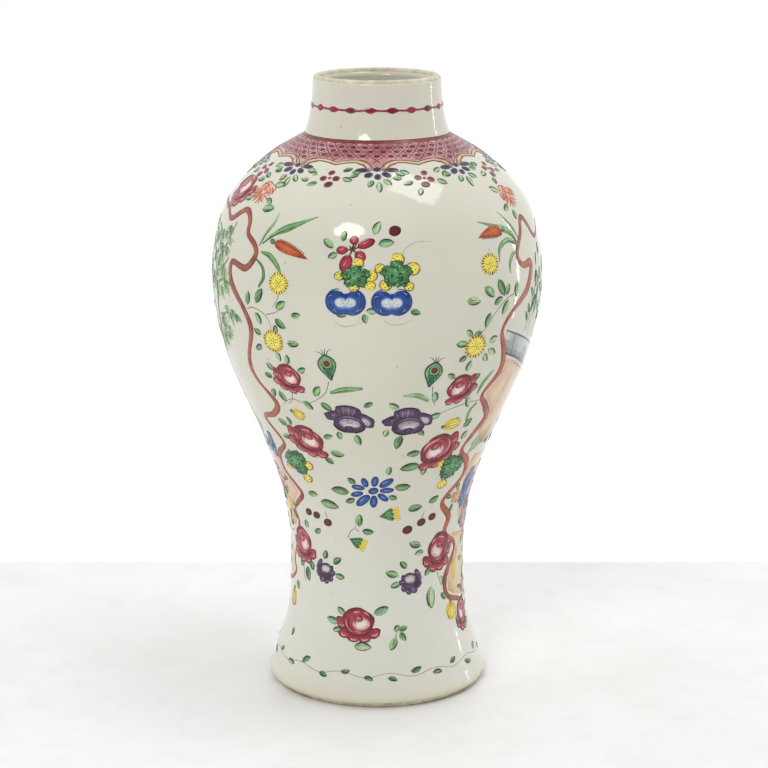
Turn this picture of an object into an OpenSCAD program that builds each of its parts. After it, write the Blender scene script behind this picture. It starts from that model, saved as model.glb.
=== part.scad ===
// Baluster vase in porcelain: thrown sections joined with slip, a glaze coat
// inside and out, and coloured enamels that stand a little proud of the glaze.
// +Z is up, and the origin is the centre of the foot, on the surface it stands on.
// An azimuth is in degrees round +Z, with 0 facing -Y and 90 facing +X.

/* [Outline] */
// Height over all
vase_h = 250; // [230:1:280]
// Widest radius of the spread foot
foot_r = 45; // [44:0.1:46]
// Radius of the waist
waist_r = 35.6; // [34.5:0.1:36]
// Widest radius of the belly
belly_r = 66.3; // [64:0.1:68]
// Radius where the shoulder meets the neck
neck_base_r = 29.3; // [28.8:0.1:29.8]
// Radius of the neck just under the lip
lip_r = 25.5; // [25.2:0.1:25.8]

/* [Walls] */
// Thickness of the fired wall, glaze included, square to the surface
wall_t = 3.7; // [3.4:0.1:4]
// Radius of the mouth, inside the glaze
mouth_r = 22; // [21.5:0.1:22.2]
// Thickness of the glaze coat
glaze_t = 0.3; // [0.2:0.05:0.35]
// Thickness of the slip between two thrown sections
slip_t = 0.8; // [0.5:0.1:1]
// Thickness of the floor
floor_t = 5; // [4:0.5:6]
// Height of the hollow under the floor
recess_h = 9; // [8:0.5:10]
// Radius of the hollow under the floor
recess_r = 38.2; // [36:0.1:38.4]

/* [Enamel] */
// How far the enamel stands off the glaze
enamel_t = 0.25; // [0.2:0.05:0.4]
// Width of the iron-red line round each side panel
frame_w = 2.2; // [1.5:0.1:3]
// Number of beads in the line round the neck
bead_count = 20; // [16:1:24]
// Number of lobed bays in the shoulder border
bay_count = 8; // [6:1:10]
// Number of leaves in the garland round the foot
foot_leaf_count = 26; // [20:2:30]

/* [Hidden] */

$fn = 96;

neck_z = 226.5 / 250 * vase_h;      // the corner where the neck stands on the shoulder
belly_joint_z = 0.48 * vase_h;      // the slip joint between the two body sections
glaze_low_z = 2.2;                  // the glaze stops here, above the bare foot
lip_bead_r = 1.4;                   // radius of the round, bare lip
glaze_high_z = vase_h - lip_bead_r; // the glaze stops here, under the bare lip
floor_top_z = recess_h + floor_t;
inner_clay_r = mouth_r + glaze_t;
bite = 6;                           // how deep a blossom's cutter reaches, either way
deep_bite = 26;                     // the same, for the wide washes inside the panels

// The body outline. Each point is a height for a 250 mm vase, and a share of the
// way from the waist's radius to the foot's (below it) or the belly's (above it).
FOOT_CURVE = [[0, 0.735], [3, 0.99], [8, 0.79], [16, 0.555], [28, 0.18], [45, 0.01]];
RISE_CURVE = [[62, 0.007], [85, 0.137], [110, 0.44], [135, 0.778], [155, 0.951], [172, 1]];
// From the belly's radius (0) to the neck's foot (1)
SHOULDER_CURVE = [[188, 0.062], [200, 0.17], [211, 0.4], [220, 0.697], [226.5, 1]];
// From the lip's radius (0) to the neck's foot (1)
NECK_CURVE = [[226.5, 0.92], [230, 0.6], [234, 0.35], [240, 0.1], [246, 0], [250, -0.03]];

function at_height(curve, low, high) = [for (p = curve) [p[0] * vase_h / 250, low + p[1] * (high - low)]];
BODY = concat(
    at_height(FOOT_CURVE, waist_r, foot_r),
    at_height(RISE_CURVE, waist_r, belly_r),
    at_height(SHOULDER_CURVE, belly_r, neck_base_r)
);
NECK = at_height(NECK_CURVE, lip_r, neck_base_r);

// A smooth curve through points [z, r], with each point's slope taken from its neighbours.
function slope(p, i) =
    let (a = max(i - 1, 0), b = min(i + 1, len(p) - 1)) (p[b][1] - p[a][1]) / (p[b][0] - p[a][0]);
function span_of(p, z, i = 0) = i >= len(p) - 2 || z < p[i + 1][0] ? i : span_of(p, z, i + 1);
function along(p, z) =
    let (i = span_of(p, z), h = p[i + 1][0] - p[i][0], t = (z - p[i][0]) / h)
    (2 * t^3 - 3 * t^2 + 1) * p[i][1] + (t^3 - 2 * t^2 + t) * h * slope(p, i)
    + (3 * t^2 - 2 * t^3) * p[i + 1][1] + (t^3 - t^2) * h * slope(p, i + 1);

// Radius of the glazed outside, and of the bare wall's inside, at a height
function outer_r(z) = z <= neck_z ? along(BODY, z) : along(NECK, z);
function lean(z) = along(BODY, min(z + 0.5, neck_z)) - along(BODY, min(z, neck_z - 0.5) - 0.5);
function inner_r(z) = z >= neck_z
    ? inner_clay_r
    : max(inner_clay_r, outer_r(z) - wall_t * sqrt(1 + lean(z)^2));

// Heights at which the outline is cut into rings, closer together where it bends fast. The
// clay, the glaze and the enamel share them, so that each coat lies flush on the one below.
STATIONS = [for (z = concat([1, 3, 5], [for (k = [0:4]) 8 + 4 * k], [for (k = [0:37]) 30 + 5 * k],
    [218, 221, 224, 226.5], [for (k = [0:4]) 230 + 4 * k])) z * vase_h / 250];
station_gap = 0.4;
function stations(z0, z1) =
    concat([z0], [for (z = STATIONS) if (z > z0 + station_gap && z < z1 - station_gap) z], [z1]);
function flat(list) = [for (part = list) for (v = part) v];

// ---- Turned pieces ----

// The solid between the outside and the inside of the wall, from one height to another
module wall_ring(z0, z1) {
    zs = stations(z0, z1);
    rotate_extrude() polygon(concat(
        [for (z = zs) [outer_r(z) - glaze_t, z]],
        [for (i = [len(zs) - 1:-1:0]) [inner_r(zs[i]), zs[i]]]
    ));
}

// A coat on the outside, between two offsets from the glazed surface
module outer_coat(z0, z1, low, high) {
    zs = stations(z0, z1);
    rotate_extrude() polygon(concat(
        [for (z = zs) [outer_r(z) + low, z]],
        [for (i = [len(zs) - 1:-1:0]) [outer_r(zs[i]) + high, zs[i]]]
    ));
}

module foot_ring() color("#c9b79a") {
    chamfer = 0.8;
    rotate_extrude() polygon(concat(
        [for (z = stations(0, recess_h)) [outer_r(z) - glaze_t, z]],
        [[recess_r + glaze_t, recess_h], [recess_r + glaze_t, chamfer], [recess_r + glaze_t + chamfer, 0]]
    ));
}

module base_disc() color("#ddd6c6")
    translate([0, 0, recess_h + slip_t])
        cylinder(h = floor_t - slip_t, r = inner_r(floor_top_z) - 0.3);

module lower_body() color("#e2ddd0") difference() {
    wall_ring(recess_h + slip_t, belly_joint_z - slip_t / 2);
    base_disc();
}
module upper_body() color("#e2ddd0") wall_ring(belly_joint_z + slip_t / 2, neck_z - slip_t / 2);

module neck() color("#d8ccb0") {
    z0 = neck_z + slip_t / 2;
    zs = stations(z0, glaze_high_z);
    lip_mid_r = (inner_clay_r + outer_r(glaze_high_z) - glaze_t) / 2;
    lip_half_w = (outer_r(glaze_high_z) - glaze_t - inner_clay_r) / 2;
    rotate_extrude() polygon(concat(
        [for (z = zs) [outer_r(z) - glaze_t, z]],
        [for (a = [15:15:165]) [lip_mid_r + lip_half_w * cos(a), glaze_high_z + lip_bead_r * sin(a)]],
        [[inner_clay_r, glaze_high_z], [inner_clay_r, z0]]
    ));
}

module foot_slip_joint() color("#b9ae98")
    rotate_extrude() polygon([
        [recess_r + glaze_t, recess_h], [outer_r(recess_h) - glaze_t, recess_h],
        [outer_r(recess_h + slip_t) - glaze_t, recess_h + slip_t], [recess_r + glaze_t, recess_h + slip_t]
    ]);
module belly_slip_joint() color("#b9ae98") wall_ring(belly_joint_z - slip_t / 2, belly_joint_z + slip_t / 2);
module neck_slip_joint() color("#b9ae98") wall_ring(neck_z - slip_t / 2, neck_z + slip_t / 2);

module outer_glaze() color("#e6e4da") outer_coat(glaze_low_z, glaze_high_z, -glaze_t, 0);

module inner_glaze() color("#dfe0d8") {
    zs = stations(floor_top_z, glaze_high_z);
    rotate_extrude() polygon(concat(
        [[0, floor_top_z]],
        [for (z = zs) [inner_r(z), z]],
        [for (i = [len(zs) - 1:-1:1]) [inner_r(zs[i]) - glaze_t, zs[i]]],
        [[inner_r(floor_top_z + glaze_t) - glaze_t, floor_top_z + glaze_t], [0, floor_top_z + glaze_t]]
    ));
}

module base_glaze() color("#dfe0d8") {
    ceiling_z = recess_h + slip_t;
    rotate_extrude() polygon([
        [0, ceiling_z - glaze_t], [recess_r, ceiling_z - glaze_t], [recess_r, glaze_low_z],
        [recess_r + glaze_t, glaze_low_z], [recess_r + glaze_t, ceiling_z], [0, ceiling_z]
    ]);
}

// ---- Enamel: shapes cut out of a thin coat on the glaze ----

// Children are drawn flat, X to the right and Y up, at a place on the wall.
module on_wall(azimuth, z, reach, depth = bite) intersection() {
    outer_coat(max(z - reach, glaze_low_z), min(z + reach, neck_z), 0, enamel_t);
    rotate([0, 0, azimuth]) translate([0, -outer_r(z), z]) rotate([90, 0, 0])
        linear_extrude(height = 2 * depth, center = true) children();
}

// Children are drawn in plan, and cut the coat on the shoulder, where it lies nearly flat.
module on_shoulder(low_z) intersection() {
    outer_coat(low_z, neck_z - 0.3, 0, enamel_t);
    translate([0, 0, low_z - 1]) linear_extrude(height = neck_z - low_z + 2) children();
}

// Moves a plan shape out along an azimuth, to the radius of the wall at a height.
module in_plan(azimuth, z) rotate([0, 0, azimuth]) translate([0, -outer_r(z)]) children();

module leaf_shape(length, width) {
    bow = (length^2 + width^2) / (4 * width);
    intersection() {
        translate([0, bow - width / 2]) circle(bow);
        translate([0, width / 2 - bow]) circle(bow);
    }
}

module blossom_shape(width, height, petals) {
    lobe = height * 0.25;
    scale_x = width / height;
    circle(height * 0.38);
    for (k = [0:petals - 1])
        translate([
            scale_x * (height / 2 - lobe) * cos(90 + k * 360 / petals),
            (height / 2 - lobe) * sin(90 + k * 360 / petals)
        ]) circle(lobe);
}

// Both garden reserves, front and back, carry the same flowers.
module both_reserves() for (turn = [0, 180]) rotate([0, 0, turn]) children();

// [azimuth, height, width, height of the flower]
ROSES = [
    [-34.5, 138.5, 15, 12], [-33.5, 111.5, 17, 14], [-56, 62.5, 16, 13.5], [-12, 33, 15.5, 13.5],
    [33, 134, 15.5, 12.5], [29.5, 107.5, 18, 14], [43, 61, 17, 15.5]
];
PURPLES = [[-11.5, 123, 19, 13.5], [12.5, 122, 19.5, 13.5], [-36, 53.5, 12, 12], [22, 50.5, 11.5, 12]];
BLUE_FRUITS = [[-10, 171.5], [5, 171.8]];
YELLOWS = [
    [-34.5, 176.5, 4.4], [-38, 153.5, 4.6], [42, 183, 4.4], [36.5, 151.5, 5],
    [-34, 122.5, 2.4], [33.5, 118.7, 3.2], [55, 33.8, 3.2]
];
CLUSTERS = [[-7, 182, 11], [6.5, 183.5, 12], [-45, 100, 13], [41, 98, 13]];
BERRIES = [
    [6.3, 197.8, 2.3], [-46, 77.5, 1.6], [-39, 77.3, 1.6], [-31, 75.7, 1.6],
    [19, 73, 1.7], [28, 75.2, 1.6], [35.5, 76.6, 1.6], [-18, 146.8, 1.7], [20.2, 143.2, 1.7]
];
PODS = [[-30.5, 189.8, 14, -14], [44, 193.4, 13, 8]];
// [azimuth, height, length, tilt from level]
LEAVES = [
    [-31, 197, 19, 22], [50, 198.5, 18, -22], [-37, 185.5, 12, -28], [50.5, 189.8, 12, 12],
    [-48, 168.5, 5.5, 60], [-43, 169.5, 7, 48], [-33.5, 168, 5.5, 30], [-43.5, 160.5, 5.5, -45],
    [33.5, 169.8, 6, 0], [40.5, 172, 6, -35], [47, 173, 6, -50], [48.5, 165.5, 5.5, 20], [41.5, 162, 6, 45],
    [-29, 153.2, 4.5, 14], [-44, 149, 4, 20], [28.5, 152.5, 4.5, -12], [46, 147.7, 5, -8], [31.5, 146.5, 3.5, 0],
    [-41, 142.5, 4, -20], [-32.2, 146.5, 4, -60], [-28, 142.8, 3.5, 15], [29, 140, 3.5, -30], [39, 138, 3.5, 20],
    [-23, 134.5, 5, 55], [-14, 135.5, 11, 12], [16, 132.3, 9, -22], [43, 131.5, 9, 70],
    [-40, 129.3, 6, 30], [-22, 127.5, 4.5, -20], [-4, 129.3, 4, 10], [7.5, 128.8, 4.5, -20],
    [-44.5, 115, 5.5, 10], [-39, 117.7, 4, 15], [-22, 113.5, 3.5, 25], [-17.5, 115.8, 3.5, 0], [-9.5, 113.5, 4.5, 70],
    [-19.5, 106.5, 5, -10], [-26, 103.8, 4, -10], [10, 112, 5.5, 65], [4, 117, 3.5, 0], [17.5, 106.5, 4.5, 0],
    [16.5, 100.4, 6.5, 8], [24, 98.8, 4, 0], [40, 114, 4.5, 15], [25.5, 123, 4.5, 10],
    [-21, 88.6, 6.5, 4], [-16, 85.8, 4, 15], [13, 91.8, 5.5, -8], [-39, 86, 5.5, 8], [-28, 82, 7, -4],
    [22, 81.7, 5.5, -4], [33, 84.3, 4.5, -12], [-11.5, 77, 4.5, 65], [-5.5, 72, 4, 0], [-40.5, 69.8, 4, 20],
    [-25, 58.8, 4, 20], [-24, 51.6, 3.5, 0], [26, 66, 5, 0], [28.5, 61.7, 3.5, 5], [36, 51.5, 4, 0],
    [17.5, 56.4, 3.5, 0], [37.5, 42, 6.5, 85], [-28.5, 34.2, 5.5, 5], [-11, 22.7, 6, 20], [2.5, 39, 4.5, 30],
    [13, 28, 5, 50], [-56, 48.5, 4.5, 30]
];

module rose_blossoms() color("#b23a57") both_reserves()
    for (f = ROSES) on_wall(f[0], f[1], f[3] / 2 + 1) blossom_shape(f[2], f[3], 6);
module purple_blossoms() color("#5b3b63") both_reserves()
    for (f = PURPLES) on_wall(f[0], f[1], f[3] / 2 + 1) blossom_shape(f[2], f[3], 5);
module blue_fruits() color("#2a4fa3") both_reserves()
    for (f = BLUE_FRUITS) on_wall(f[0], f[1], 6)
        for (side = [-1, 1]) translate([side * 2.9, 0]) circle(4.3);

module blue_blossoms() color("#2a4fa3") both_reserves()
    on_wall(-3, 90.5, 8.5) {
        circle(2);
        for (a = [15:40:345]) rotate(a) translate([5.2, 0]) leaf_shape(5, 2.9);
    }
module yellow_blossoms() color("#e6b93a") both_reserves()
    for (f = YELLOWS) on_wall(f[0], f[1], f[2] + 1) circle(f[2]);
module green_clusters() color("#3f8a55") both_reserves()
    for (f = CLUSTERS) on_wall(f[0], f[1], f[2] / 2 + 1) blossom_shape(f[2], f[2] * 0.9, 5);
module red_berries() color("#5c1f2b") both_reserves()
    for (f = BERRIES) on_wall(f[0], f[1], f[2] + 1) circle(f[2]);
module orange_pods() color("#c9552b") both_reserves()
    for (f = PODS) on_wall(f[0], f[1], 5) rotate(f[3]) leaf_shape(f[2], f[2] * 0.22);
module green_leaves() color("#5f9a4e") both_reserves()
    for (f = LEAVES) on_wall(f[0], f[1], f[2] / 2 + 1) rotate(f[3]) leaf_shape(f[2], 0.7 + f[2] * 0.28);

// ---- Lines of enamel: closed ribbons swept along the wall ----

function wall_point(azimuth, z, off) =
    let (r = outer_r(z) + off) [r * sin(azimuth), -r * cos(azimuth), z];
function turn_between(a, b) = (b - a + 540) % 360 - 180;
// The direction of the line at loop point i, in millimetres of (arc, height)
function loop_step(p, i) =
    let (n = len(p), a = p[(i + n - 1) % n], b = p[(i + 1) % n], r = outer_r(p[i][1]))
    [turn_between(a[0], b[0]) * r * PI / 180, b[1] - a[1]];
function beside(p, i, d) =
    let (s = loop_step(p, i), l = norm(s), r = outer_r(p[i][1]))
    [p[i][0] - d * s[1] / l * 180 / PI / r, p[i][1] + d * s[0] / l];

// Each point of the loop is [azimuth, height, width of the line there].
module wall_ribbon(loop, turn = 0) {
    n = len(loop);
    rows = flat([for (i = [0:n - 1])
        let (w = loop[i][2], a = beside(loop, i, -w / 2), b = beside(loop, i, w / 2)) [
        wall_point(a[0] + turn, a[1], 0), wall_point(b[0] + turn, b[1], 0),
        wall_point(b[0] + turn, b[1], enamel_t), wall_point(a[0] + turn, a[1], enamel_t)
    ]]);
    faces = flat([for (i = [0:n - 1]) let (a = 4 * i, b = 4 * ((i + 1) % n)) flat([for (k = [0:3])
        let (j = (k + 1) % 4) [[a + k, b + k, b + j], [a + k, b + j, a + j]]])]);
    polyhedron(rows, faces);
}

// ---- Neck and shoulder border ----

// One line that swells into a bead at even steps. Each pair is a share of a step and a width.
BEAD_WIDTHS = [[0, 2.7], [0.14, 1.9], [0.3, 0.8], [0.5, 0.6], [0.7, 0.8], [0.86, 1.9]];
module neck_bead_line() color("#9c2f4c")
    wall_ribbon([for (i = [0:bead_count - 1]) for (b = BEAD_WIDTHS)
        [(i + 0.75 + b[0]) * 360 / bead_count, 238.4 / 250 * vase_h, b[1]]]);

module neck_cord_line() color("#8f4530") outer_coat(neck_z + 0.1, neck_z + 1, 0, enamel_t);

// The collar's lower edge, seen in plan. Between bays it runs down to a point over the
// daisy, and in the middle of each bay it has a shallow lobe.
bay_angle = 360 / bay_count;
edge_steps = 12;
edge_r = outer_r(221.2);
point_reach = outer_r(218.8) - edge_r;
lobe_reach = outer_r(220.3) - edge_r;
function border_r(u) = edge_r + point_reach * max(0, 1 - 5 * u)^2 + lobe_reach * max(0, 4 * u - 1)^2;
module border_plan(grow) polygon([for (i = [0:bay_count * edge_steps - 1])
    let (bay = i / edge_steps, u = abs(bay - round(bay)), r = border_r(u) + grow)
    [r * sin(bay * bay_angle), -r * cos(bay * bay_angle)]]);
module shoulder_trellis_band() color("#bd6d83") on_shoulder(216) border_plan(0);
module shoulder_edge_line() color("#8a5a3c") on_shoulder(216) difference() {
    border_plan(0.9);
    border_plan(0);
}

daisy_z = 217;
module shoulder_daisies() color("#4f345c") on_shoulder(206)
    for (k = [0:bay_count - 1]) in_plan(k * bay_angle, daisy_z) translate([0, -1.2]) {
        circle(1.3);
        for (a = [-200, -160, -125, -90, -55, -20, 20]) rotate(a) translate([4.2, 0]) leaf_shape(4.6, 1.9);
    }
module shoulder_rosettes() color("#8c2f42") on_shoulder(204)
    for (k = [0:bay_count - 1]) in_plan((k + 0.5) * bay_angle, 215)
        for (a = [0:72:288]) rotate(a + 18) translate([2.3, 0]) circle(1.35);
module shoulder_leaves() color("#6fae7c") on_shoulder(200)
    for (k = [0:bay_count - 1], side = [-1, 1])
        in_plan((k + 0.5 + side * 0.24) * bay_angle, 215.5)
            for (a = [-70, 0, 70]) rotate(a + 90) translate([2.4, 0]) leaf_shape(3.6, 1.7);

// ---- Side panels ----

// The front half of a panel's outline as [degrees from the panel's middle, height];
// the back half mirrors it.
PANEL_EDGE = [
    [0, 203], [9, 201], [17, 197.5], [24, 198], [30, 201.5], [37, 197], [39, 192], [43.5, 187], [41.5, 181],
    [32, 182], [30, 177], [35, 168], [40.5, 160], [41, 152], [37.5, 144], [37, 138], [43, 131], [45, 126],
    [40, 121], [33.5, 118], [35, 113], [41, 108], [41, 104], [32, 99], [33, 93], [41, 88.5], [43.5, 84],
    [38, 80], [34, 75], [37, 69], [33, 63], [24, 57], [29, 51], [35, 46], [32, 41], [24, 38.5], [14, 35],
    [6, 33], [0, 34]
];
PANEL_CORNERS = concat(PANEL_EDGE, [for (i = [len(PANEL_EDGE) - 2:-1:1]) [-PANEL_EDGE[i][0], PANEL_EDGE[i][1]]]);
// The same loop with a rounded point halfway along each of its steps
function halfway(p, i) = let (n = len(p), before = p[(i + n - 1) % n], after = p[(i + 2) % n])
    (9 * (p[i] + p[(i + 1) % n]) - before - after) / 16;
PANEL_LOOP = flat([for (i = [0:len(PANEL_CORNERS) - 1]) [PANEL_CORNERS[i], halfway(PANEL_CORNERS, i)]]);

module panel_frame(turn) wall_ribbon([for (p = PANEL_LOOP) [p[0], p[1], frame_w]], turn);
module panel_frame_right() color("#a4503c") panel_frame(90);
module panel_frame_left() color("#a4503c") panel_frame(-90);

module both_panels() for (turn = [90, -90]) rotate([0, 0, turn]) children();
module panel_ground() color("#e3b08c") both_panels() on_wall(0, 92, 34, deep_bite)
    polygon([[-16, -30], [16, -30], [19, 5], [17, 26], [-17, 21], [-19, 0]]);
module panel_terrace_wall() color("#a7a8a2") both_panels() on_wall(0, 138, 13, deep_bite)
    polygon([[-32, 3], [32, -8], [32, -1], [-32, 10]]);
module panel_trees() color("#7da36f") both_panels()
    for (f = [[-28, 190, 9], [-26, 172, 10], [-30, 157, 8], [-15, 184, 8]])
        on_wall(f[0], f[1], f[2] / 2 + 2) blossom_shape(f[2] * 1.3, f[2], 5);

// ---- Foot garland ----

garland_z = 13;
module foot_garland_stem() color("#8a8a6a")
    wall_ribbon([for (a = [0:5:355]) [a, garland_z + 0.9 * sin(a * foot_leaf_count / 2), 0.7]]);
module foot_garland_leaves() color("#5f9a4e")
    for (i = [0:foot_leaf_count - 1]) {
        side = i % 2 == 0 ? 1 : -1;
        on_wall((i + 0.5) * 360 / foot_leaf_count, garland_z + side * 1.7, 3.5)
            rotate(side * 12) leaf_shape(4.6, 1.9);
    }

// ---- Nodes ----

foot_ring();
base_disc();
lower_body();
upper_body();
neck();
foot_slip_joint();
belly_slip_joint();
neck_slip_joint();
outer_glaze();
inner_glaze();
base_glaze();
neck_bead_line();
neck_cord_line();
shoulder_trellis_band();
shoulder_edge_line();
shoulder_daisies();
shoulder_rosettes();
shoulder_leaves();
panel_frame_right();
panel_frame_left();
panel_ground();
panel_terrace_wall();
panel_trees();
rose_blossoms();
purple_blossoms();
blue_fruits();
blue_blossoms();
yellow_blossoms();
green_clusters();
green_leaves();
orange_pods();
red_berries();
foot_garland_stem();
foot_garland_leaves();
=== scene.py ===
"""Porcelain vase: smooth turned clay and glaze, and the enamel painting laid on it in low relief.

Lengths on the wall are in millimetres and are turned into metres as each mesh is written. A place
on the wall is an azimuth in degrees (0 faces -Y, 90 faces +X) and a height above the foot.
"""

import math
import random

import bpy
import numpy as np
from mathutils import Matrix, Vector

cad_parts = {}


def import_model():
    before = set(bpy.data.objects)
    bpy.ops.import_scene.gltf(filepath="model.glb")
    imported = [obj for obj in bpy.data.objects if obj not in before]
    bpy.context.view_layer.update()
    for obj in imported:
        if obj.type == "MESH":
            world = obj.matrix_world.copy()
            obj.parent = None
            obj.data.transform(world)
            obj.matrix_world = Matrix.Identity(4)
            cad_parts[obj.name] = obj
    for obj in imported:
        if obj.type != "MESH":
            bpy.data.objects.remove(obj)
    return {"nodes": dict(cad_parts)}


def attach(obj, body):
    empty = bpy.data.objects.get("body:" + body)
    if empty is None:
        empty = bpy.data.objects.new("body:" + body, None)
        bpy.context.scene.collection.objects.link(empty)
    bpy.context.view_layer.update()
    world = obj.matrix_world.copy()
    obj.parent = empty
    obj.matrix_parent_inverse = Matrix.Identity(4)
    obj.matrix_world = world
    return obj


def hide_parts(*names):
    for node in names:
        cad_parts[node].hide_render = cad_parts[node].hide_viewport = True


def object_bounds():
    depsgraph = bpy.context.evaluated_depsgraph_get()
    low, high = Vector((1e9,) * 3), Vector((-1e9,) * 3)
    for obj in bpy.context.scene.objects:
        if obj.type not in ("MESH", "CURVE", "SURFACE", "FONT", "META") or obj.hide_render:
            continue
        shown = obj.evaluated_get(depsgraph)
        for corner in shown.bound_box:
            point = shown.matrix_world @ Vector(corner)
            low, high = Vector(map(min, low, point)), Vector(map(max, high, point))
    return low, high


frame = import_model()
CAD_LOW, CAD_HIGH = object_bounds()

HEIGHT = 250
MM = CAD_HIGH[2] / HEIGHT  # one drawing millimetre, in metres
RNG = random.Random(7)

# ---------------------------------------------------------------- the outline of the wall

NECK_Z = 226.5
LIP_BEAD_R = 1.4
GLAZE_LOW_Z = 2.4
GLAZE_HIGH_Z = HEIGHT - LIP_BEAD_R
GLAZE_T = 0.3
WALL_T = 3.7
MOUTH_R = 22.0
FLOOR_TOP_Z = 14.0
RECESS_R = 38.2

# (height, radius) of the glazed outside, as in the CAD
BODY = np.array([
    (0, 42.5), (3, 44.9), (8, 43.0), (16, 40.8), (28, 37.3), (45, 35.7), (62, 35.8), (85, 39.8),
    (110, 49.1), (135, 59.5), (155, 64.8), (172, 66.3), (188, 64.0), (200, 60.0), (211, 51.5), (220, 40.5),
    (NECK_Z, 29.3),
])
NECK = np.array([(NECK_Z, 29.0), (230, 27.8), (234, 26.8), (240, 25.9), (246, 25.5), (HEIGHT, 25.4)])


def smooth_curve(knots, z):
    """Radius at heights z, on a smooth curve whose slope at a point comes from its two neighbours."""
    zs, rs = knots[:, 0], knots[:, 1]
    slope = np.gradient(rs, zs)
    slope[1:-1] = (rs[2:] - rs[:-2]) / (zs[2:] - zs[:-2])
    i = np.clip(np.searchsorted(zs, z, side="right") - 1, 0, len(zs) - 2)
    step = zs[i + 1] - zs[i]
    t = (z - zs[i]) / step
    ends = (2 * t**3 - 3 * t**2 + 1) * rs[i] + (3 * t**2 - 2 * t**3) * rs[i + 1]
    return ends + ((t**3 - 2 * t**2 + t) * slope[i] + (t**3 - t**2) * slope[i + 1]) * step


Z_TABLE = np.arange(0, HEIGHT + 0.01, 0.1)
R_TABLE = np.where(
    Z_TABLE <= NECK_Z,
    smooth_curve(BODY, np.minimum(Z_TABLE, NECK_Z)),
    smooth_curve(NECK, np.maximum(Z_TABLE, NECK_Z)),
)
SLOPE_TABLE = np.gradient(R_TABLE, Z_TABLE)
# Distance along the wall from the foot up, so that a drawing keeps its size on the steep shoulder
S_TABLE = np.concatenate([[0], np.cumsum(np.hypot(np.diff(R_TABLE), np.diff(Z_TABLE)))])


def pairs(x, y):
    return np.stack([x, y], -1)


def whole_turn(points):
    """Angles spread evenly round a circle, from 0."""
    return np.linspace(0, 2 * math.pi, points, endpoint=False)


def cos_sin(degrees):
    return math.cos(math.radians(degrees)), math.sin(math.radians(degrees))


def r_at(z):
    return np.interp(z, Z_TABLE, R_TABLE)


def s_at(z):
    return np.interp(z, Z_TABLE, S_TABLE)


def z_at(s):
    return np.interp(s, S_TABLE, Z_TABLE)


def thrown(theta, z):
    """How far the hand-thrown, turned wall strays from a true circle."""
    sway = 0.10 * np.sin(2 * theta + 0.8 + z / 90) + 0.05 * np.sin(3 * theta - z / 40)
    rings = 0.028 * np.sin(z / 1.9 + 1.3 * np.sin(theta)) + 0.03 * np.sin(z / 5.3 + theta)
    return (sway + rings) * np.clip((HEIGHT - z) / 30, 0, 1) * np.clip(z / 20, 0, 1)


def on_wall(theta, s, lift):
    """Points in metres, lift millimetres off the glaze, at azimuths theta (radians) and wall distances s."""
    z = z_at(s)
    slope = np.interp(z, Z_TABLE, SLOPE_TABLE)
    level = 1 / np.sqrt(1 + slope**2)
    r = r_at(z) + thrown(theta, z) + lift * level
    return np.stack([r * np.sin(theta), -r * np.cos(theta), z - lift * slope * level], -1) * MM


# ---------------------------------------------------------------- materials


def rgb(colour):
    """A colour in linear light, from its hex code. One that is in linear light already stays as it is."""
    if not isinstance(colour, str):
        return colour
    parts = [int(colour[i:i + 2], 16) / 255 for i in (1, 3, 5)]
    return np.array([c / 12.92 if c < 0.04045 else ((c + 0.055) / 1.055) ** 2.4 for c in parts])


class Nodes:
    """A node tree being put together."""

    def __init__(self, tree):
        self.tree = tree

    def node(self, kind, inputs=None, **settings):
        """A new node, with its settings and with what goes into its inputs."""
        node = self.tree.nodes.new("ShaderNode" + kind)
        for key, value in settings.items():
            setattr(node, key, value)
        self.feed(node, inputs or {})
        return node

    def feed(self, node, inputs):
        """Gives each input its value, or joins it to a socket. A colour is a hex code or an array."""
        for slot, value in inputs.items():
            if isinstance(value, bpy.types.NodeSocket):
                self.tree.links.new(value, node.inputs[slot])
            else:
                colour = isinstance(value, (str, np.ndarray))
                node.inputs[slot].default_value = (*rgb(value), 1) if colour else value

    def remap(self, value, low, high, to_low, to_high):
        limits = {"From Min": low, "From Max": high, "To Min": to_low, "To Max": to_high}
        return self.node("MapRange", {"Value": value, **limits}).outputs["Result"]


class Shader(Nodes):
    """A node material being put together."""

    def __init__(self, name):
        self.material = bpy.data.materials.new(name)
        self.material.use_nodes = True
        super().__init__(self.material.node_tree)
        self.place = self.node("TexCoord").outputs["Object"]

    def noise(self, scale, detail=3.0, stretch=(1, 1, 1), warp=0.0):
        """Noise from 0 to 1, with scale in ripples per metre."""
        spread = self.node("Mapping", {"Vector": self.place, "Scale": stretch}).outputs["Vector"]
        form = {"Vector": spread, "Scale": scale, "Detail": detail, "Distortion": warp}
        return self.node("TexNoise", form).outputs["Fac"]

    def specks(self, scale, size):
        """1 in small round specks, 0 between them. Only some of the cells hold one."""
        cells = self.node("TexVoronoi", {"Vector": self.place, "Scale": scale})
        near = self.remap(cells.outputs["Distance"], size * 0.6, size, 1, 0)
        chosen = self.remap(cells.outputs["Color"], 0.72, 0.76, 0, 1)
        return self.math("MULTIPLY", near, chosen)

    def math(self, kind, a, b):
        return self.node("Math", {0: a, 1: b}, operation=kind).outputs["Value"]

    def mix(self, factor, a, b, kind="MIX"):
        """Mixes two colours. Sockets 6 and 7 of the node are its two colours, and output 2 is the mixture."""
        return self.node("Mix", {0: factor, 6: a, 7: b}, data_type="RGBA", blend_type=kind).outputs[2]

    def finish(self, colour, roughness, height, depth, ior=1.5):
        """Joins the sockets to the surface, with height as a bump up to depth metres high."""
        bump = self.node("Bump", {"Strength": 1.0, "Distance": depth, "Height": height}).outputs["Normal"]
        surface = {"Base Color": colour, "Roughness": roughness, "IOR": ior, "Normal": bump}
        self.feed(self.tree.nodes["Principled BSDF"], surface)
        return self.material


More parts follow.
